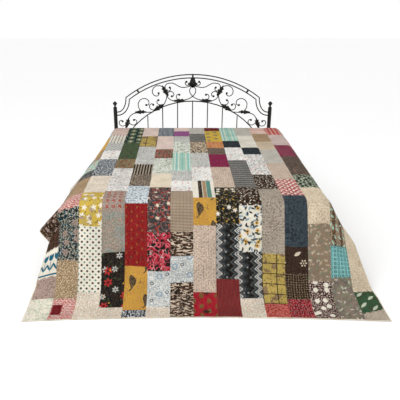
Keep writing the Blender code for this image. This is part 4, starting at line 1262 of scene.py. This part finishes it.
pipings = []
for side in (-1, 1):
    curve = bpy.data.curves.new("piping", "CURVE")
    curve.dimensions = "3D"
    curve.bevel_depth = PIPING_RADIUS
    curve.bevel_resolution = 2
    line = curve.splines.new("POLY")
    height = side * (size[2] / 2 - MATTRESS_RIM - PIPING_RADIUS / 2)
    spots = ring_points(size[0] / 2, size[1] / 2, MATTRESS_CORNER, height)
    line.points.add(len(spots) - 1)
    for point, spot in zip(line.points, spots):
        point.co = (*(Vector(spot) + Vector(middle)), 1.0)
    line.use_cyclic_u = True
    cord = bpy.data.objects.new("piping", curve)
    bpy.context.collection.objects.link(cord)
    deselect_all()
    cord.select_set(True)
    bpy.context.view_layer.objects.active = cord
    bpy.ops.object.convert(target="MESH")
    cord.data.shade_smooth()
    pipings.append(cord)
deselect_all()
for cord in pipings:
    cord.select_set(True)
mattress.select_set(True)
bpy.context.view_layer.objects.active = mattress
bpy.ops.object.join()

ticking_map = mattress.data.uv_layers.get("cloth") or mattress.data.uv_layers.new(name="cloth")
for face in mattress.data.polygons:
    flat_side = abs(face.normal.z) > 0.8
    ends = abs(face.normal.y) > abs(face.normal.x)
    for loop, corner in zip(face.loop_indices, face.vertices):
        spot = mattress.data.vertices[corner].co
        across = spot.x if flat_side or ends else spot.y
        ticking_map.data[loop].uv = (across, spot.y if flat_side else spot.z)
print(len(mattress.data.polygons), "faces in the mattress with its piping")

# %% Ticking: a close twill with fine grey stripes in threes
TICKING_PITCH = 0.032
TICKING_STRIPES = ((0.50, 0.0034), (0.34, 0.0012), (0.66, 0.0012))
TWILL_PITCH = 0.0016

ticking = bpy.data.materials.new("striped_ticking")
ticking.use_nodes = True
tree = ticking.node_tree
shader = tree.nodes["Principled BSDF"]
flat = wire(tree, "UVMap", uv_map="cloth")
parts = wire(tree, "SeparateXYZ", flat).node
share = sums(tree, "FRACT", sums(tree, "ADD", sums(tree, "DIVIDE", parts.outputs[0], TICKING_PITCH), 90.0))
colour = dye("cream")
for place, wide in TICKING_STRIPES:
    near = sums(tree, "ABSOLUTE", sums(tree, "SUBTRACT", share, place))
    colour = blend(tree, under(tree, near, wide / 2 / TICKING_PITCH), colour, dye("ash"))
fade = wire(tree, "TexNoise", Vector=flat, Scale=6.0, Detail=3.0, noise_dimensions="2D")
worn = wire(tree, "MapRange", fade, 0.3, 0.7, 0.90, 1.04)
colour = wire(tree, "VectorMath", colour, operation="SCALE", Scale=worn)
tree.links.new(colour, shader.inputs["Base Color"])
slant = sums(tree, "ADD", parts.outputs[0], parts.outputs[1])
slanted = sums(tree, "MULTIPLY", slant, 2 * math.pi / TWILL_PITCH)
twill = wire(tree, "Bump", Height=sums(tree, "SINE", slanted), Strength=0.3, Distance=0.0005)
tree.links.new(twill, shader.inputs["Normal"])
tree.links.new(wire(tree, "MapRange", fade, 0.3, 0.7, 0.80, 0.92), shader.inputs["Roughness"])
shader.inputs["Specular IOR Level"].default_value = 0.15
mattress.data.materials.clear()
mattress.data.materials.append(ticking)

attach(mattress, "root")
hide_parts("mattress")

# %% [markdown]
# ## Iron and pine
#
# The headboard is bent from steel rod and tube with cast leaves, then coated in satin black.
# The coat is not quite even: it lies in faint waves, is a little duller in patches and is rubbed
# to a brownish grey on a few high spots. The slats are planed pine: long grain in two browns and
# the odd knot. The CAD shapes are right for both, so those nodes only get new materials.

# %% Black coat on iron
IRON_DYES = {
    "coat": (0.0065, 0.0065, 0.007, 1),
    "dull": (0.013, 0.012, 0.0115, 1),
    "rubbed": (0.040, 0.034, 0.029, 1),
}

iron = bpy.data.materials.new("satin_black_iron")
iron.use_nodes = True
tree = iron.node_tree
shader = tree.nodes["Principled BSDF"]
place = wire(tree, "TexCoord", out="Object")
patches = wire(tree, "TexNoise", Vector=place, Scale=14.0, Detail=4.0)
waves = wire(tree, "TexNoise", Vector=place, Scale=55.0, Detail=2.0)
grit = wire(tree, "TexNoise", Vector=place, Scale=420.0, Detail=2.0)
colour = blend(tree, wire(tree, "MapRange", patches, 0.45, 0.60), IRON_DYES["coat"], IRON_DYES["dull"])
high_spots = wire(tree, "MapRange", waves, 0.60, 0.68)
rubs = sums(tree, "MULTIPLY", high_spots, wire(tree, "MapRange", grit, 0.5, 0.6))
colour = blend(tree, sums(tree, "MULTIPLY", rubs, 0.5), colour, IRON_DYES["rubbed"])
tree.links.new(colour, shader.inputs["Base Color"])
tree.links.new(wire(tree, "MapRange", patches, 0.35, 0.65, 0.42, 0.62), shader.inputs["Roughness"])
height = sums(tree, "ADD", waves, sums(tree, "MULTIPLY", grit, 0.15))
tree.links.new(wire(tree, "Bump", Height=height, Strength=0.35, Distance=0.0015), shader.inputs["Normal"])
shader.inputs["Specular IOR Level"].default_value = 0.25

# %% Planed pine
PINE_DYES = ((0.52, 0.36, 0.20, 1), (0.70, 0.54, 0.34, 1), (0.22, 0.12, 0.06, 1))

pine = bpy.data.materials.new("planed_pine")
pine.use_nodes = True
tree = pine.node_tree
shader = tree.nodes["Principled BSDF"]
place = wire(tree, "TexCoord", out="Object")
long_grain = wire(tree, "Mapping", Vector=place, Scale=(2.2, 46.0, 46.0))
rings = wire(tree, "TexNoise", Vector=long_grain, Scale=1.0, Detail=4.0, Distortion=0.6)
fine_grain = wire(tree, "Mapping", Vector=place, Scale=(14.0, 600.0, 600.0))
fibres = wire(tree, "TexNoise", Vector=fine_grain, Scale=1.0)
colour = blend(tree, wire(tree, "MapRange", rings, 0.38, 0.62), PINE_DYES[1], PINE_DYES[0])
spaced = wire(tree, "Mapping", Vector=place, Scale=(1.0, 2.4, 1.0))
knots = wire(tree, "TexVoronoi", spaced, Scale=3.2, out="Distance")
colour = blend(tree, wire(tree, "MapRange", knots, 0.05, 0.03), colour, PINE_DYES[2])
tree.links.new(colour, shader.inputs["Base Color"])
tree.links.new(wire(tree, "MapRange", fibres, 0.3, 0.7, 0.50, 0.70), shader.inputs["Roughness"])
tree.links.new(wire(tree, "Bump", Height=fibres, Strength=0.25, Distance=0.0006), shader.inputs["Normal"])

finishes = {"black_iron": iron, "pine": pine}
coated = 0
for subpart in frame["record"]["subparts"]:
    finish = finishes.get(subpart["material_slot"])
    if finish:
        for holder in frame["nodes"][subpart["node"]].material_slots:
            holder.material = finish
        coated += 1
print(coated, "CAD nodes have their finish")

# %% [markdown]
# ## Cast leaves and ball ends
#
# On the real headboard each leaf is a small casting with pointed lobes down both sides, welded
# over the bars where they meet, and each scroll ends in a little forged ball. The CAD has a
# plain almond for each leaf, so here the lobed blade is laid over it: the outline is a flat
# curve with a thickness and a rounded edge, made a mesh and then put in its place.

# %% Places of the leaves and balls on the right half: across, height, size, lean in degrees
scroll_low, scroll_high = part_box("scrollwork")
IRON_MIDDLE = (scroll_low.x + scroll_high.x) / 2
IRON_Y = (scroll_low.y + scroll_high.y) / 2
Casting = namedtuple("Casting", "across height long wide lean")
CASTINGS = (
    Casting(0.670, 0.640, 0.118, 0.052, 107),
    Casting(0.527, 0.752, 0.124, 0.044, 176),
    Casting(0.345, 0.797, 0.112, 0.058, 148),
    Casting(0.280, 0.972, 0.126, 0.058, 60),
    Casting(0.128, 0.8695, 0.132, 0.040, 176),
)
MIDDLE_CASTINGS = (
    Casting(0.000, 1.062, 0.128, 0.058, 90),
    Casting(0.026, 1.028, 0.078, 0.036, 38),
    Casting(-0.026, 1.028, 0.078, 0.036, 142),
)
BALLS = (
    (0.7207, 0.6546), (0.6027, 0.669), (0.472, 0.8235), (0.4005, 0.8253),
    (0.3437, 0.9425), (0.3469, 0.8729), (0.2106, 0.9125), (0.1343, 0.9276),
    (0.2308, 0.9992), (0.064, 1.0563),
)
LOBES = 4
LOBE_CUT = 0.55
LOBE_LONG = 0.95
WIDEST_EARLY = 0.8
LEAF_HALF_THICK = 0.005
LEAF_ROUND = 0.0025
BALL_FLATTER = 0.82
WELD = 0.00002
SHARP = math.radians(40)
BALL_RADIUS = 0.0112


def leaf_outline(long, wide):
    """Points round a leaf with pointed lobes that lean to its tip."""
    side = []
    for lobe in range(LOBES):
        root = lobe / LOBES
        swell = math.sin(math.pi * min((root + 0.5 / LOBES) ** WIDEST_EARLY, 1.0))
        side.append((root * long - long / 2, wide / 2 * swell * LOBE_CUT))
        side.append(((root + LOBE_LONG / LOBES) * long - long / 2, wide / 2 * swell))
    side = side[:-1]
    tip = [(long / 2, 0.0)]
    return [(-long / 2, 0.0)] + side + tip + [(along, -across) for along, across in reversed(side)]


def cast_leaf(name, casting, side):
    """A lobed blade in the plane of the headboard, as a mesh in its place."""
    curve = bpy.data.curves.new(name, "CURVE")
    curve.dimensions = "2D"
    curve.fill_mode = "BOTH"
    curve.extrude = LEAF_HALF_THICK
    curve.bevel_depth = LEAF_ROUND
    curve.bevel_resolution = 1
    line = curve.splines.new("POLY")
    points = leaf_outline(casting.long, casting.wide)
    line.points.add(len(points) - 1)
    for point, spot in zip(line.points, points):
        point.co = (*spot, 0.0, 1.0)
    line.use_cyclic_u = True
    blade = bpy.data.objects.new(name, curve)
    bpy.context.collection.objects.link(blade)
    deselect_all()
    blade.select_set(True)
    bpy.context.view_layer.objects.active = blade
    bpy.ops.object.convert(target="MESH")
    lean = math.radians(casting.lean if side > 0 else 180 - casting.lean)
    blade.rotation_euler = (math.pi / 2, -lean, 0.0)
    blade.location = (IRON_MIDDLE + side * casting.across, IRON_Y, casting.height)
    bpy.ops.object.transform_apply(location=True, rotation=True, scale=True)
    return blade


def forged_ball(name, across, height):
    """A ball that the hammer left a little flat front and back."""
    deselect_all()
    place = (IRON_MIDDLE + across, IRON_Y, height)
    bpy.ops.mesh.primitive_uv_sphere_add(segments=20, ring_count=12, radius=BALL_RADIUS, location=place)
    ball = bpy.context.object
    ball.name = name
    edit_mode()
    bpy.ops.mesh.select_all(action="SELECT")
    bpy.ops.transform.resize(value=(1.0, BALL_FLATTER, 1.0))
    object_mode()
    bpy.ops.object.transform_apply(location=True, rotation=True, scale=True)
    return ball


castings = []
for side in (-1, 1):
    castings += [cast_leaf("leaf", casting, side) for casting in CASTINGS]
    castings += [forged_ball("ball", side * across, height) for across, height in BALLS]
castings += [cast_leaf("leaf", casting, 1) for casting in MIDDLE_CASTINGS]
deselect_all()
for casting in castings:
    casting.select_set(True)
bpy.context.view_layer.objects.active = castings[0]
bpy.ops.object.join()
leaves = bpy.context.object
leaves.name = "cast_leaves"
leaves.data.name = "cast_leaves"
edit_mode()
bpy.ops.mesh.select_all(action="SELECT")
bpy.ops.mesh.remove_doubles(threshold=WELD)
bpy.ops.mesh.normals_make_consistent(inside=False)
object_mode()
leaves.data.shade_smooth()
bpy.ops.object.shade_smooth_by_angle(angle=SHARP)
leaves.data.materials.clear()
leaves.data.materials.append(iron)
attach(leaves, "root")
print(len(castings), "castings,", len(leaves.data.polygons), "faces")

# %% [markdown]
# ## Floor and light
#
# The quilt was photographed on plain white, with soft light from all round. A pale floor, a
# bright plain sky and one large soft lamp give the same.

# %% Floor, sky and lamp
FLOOR_SIZE = 40
FLOOR_HEIGHT = -0.002
FLOOR_TONE = 0.96
LAMP_AT = (-1.6, -2.6, 3.6)
LAMP_AIM = Vector((0, 0, 0.3))
LAMP_SIZE = 2.4
LAMP_WATTS = 60

deselect_all()
bpy.ops.mesh.primitive_plane_add(size=FLOOR_SIZE, location=(0, 0, FLOOR_HEIGHT))
floor = bpy.context.object
floor.name = "floor"
pale = bpy.data.materials.new("pale_floor")
pale.use_nodes = True
pale.node_tree.nodes["Principled BSDF"].inputs["Base Color"].default_value = (FLOOR_TONE,) * 3 + (1,)
pale.node_tree.nodes["Principled BSDF"].inputs["Roughness"].default_value = 0.9
floor.data.materials.append(pale)

world = bpy.data.worlds.new("studio")
bpy.context.scene.world = world
world.use_nodes = True
world.node_tree.nodes["Background"].inputs["Color"].default_value = (1, 1, 1, 1)
world.node_tree.nodes["Background"].inputs["Strength"].default_value = 1.0

bpy.ops.object.light_add(type="AREA", location=LAMP_AT)
lamp = bpy.context.object
lamp.data.size = LAMP_SIZE
lamp.data.energy = LAMP_WATTS
lamp.rotation_euler = (LAMP_AIM - lamp.location).to_track_quat("-Z", "Y").to_euler()
bpy.context.scene.view_settings.view_transform = "Standard"
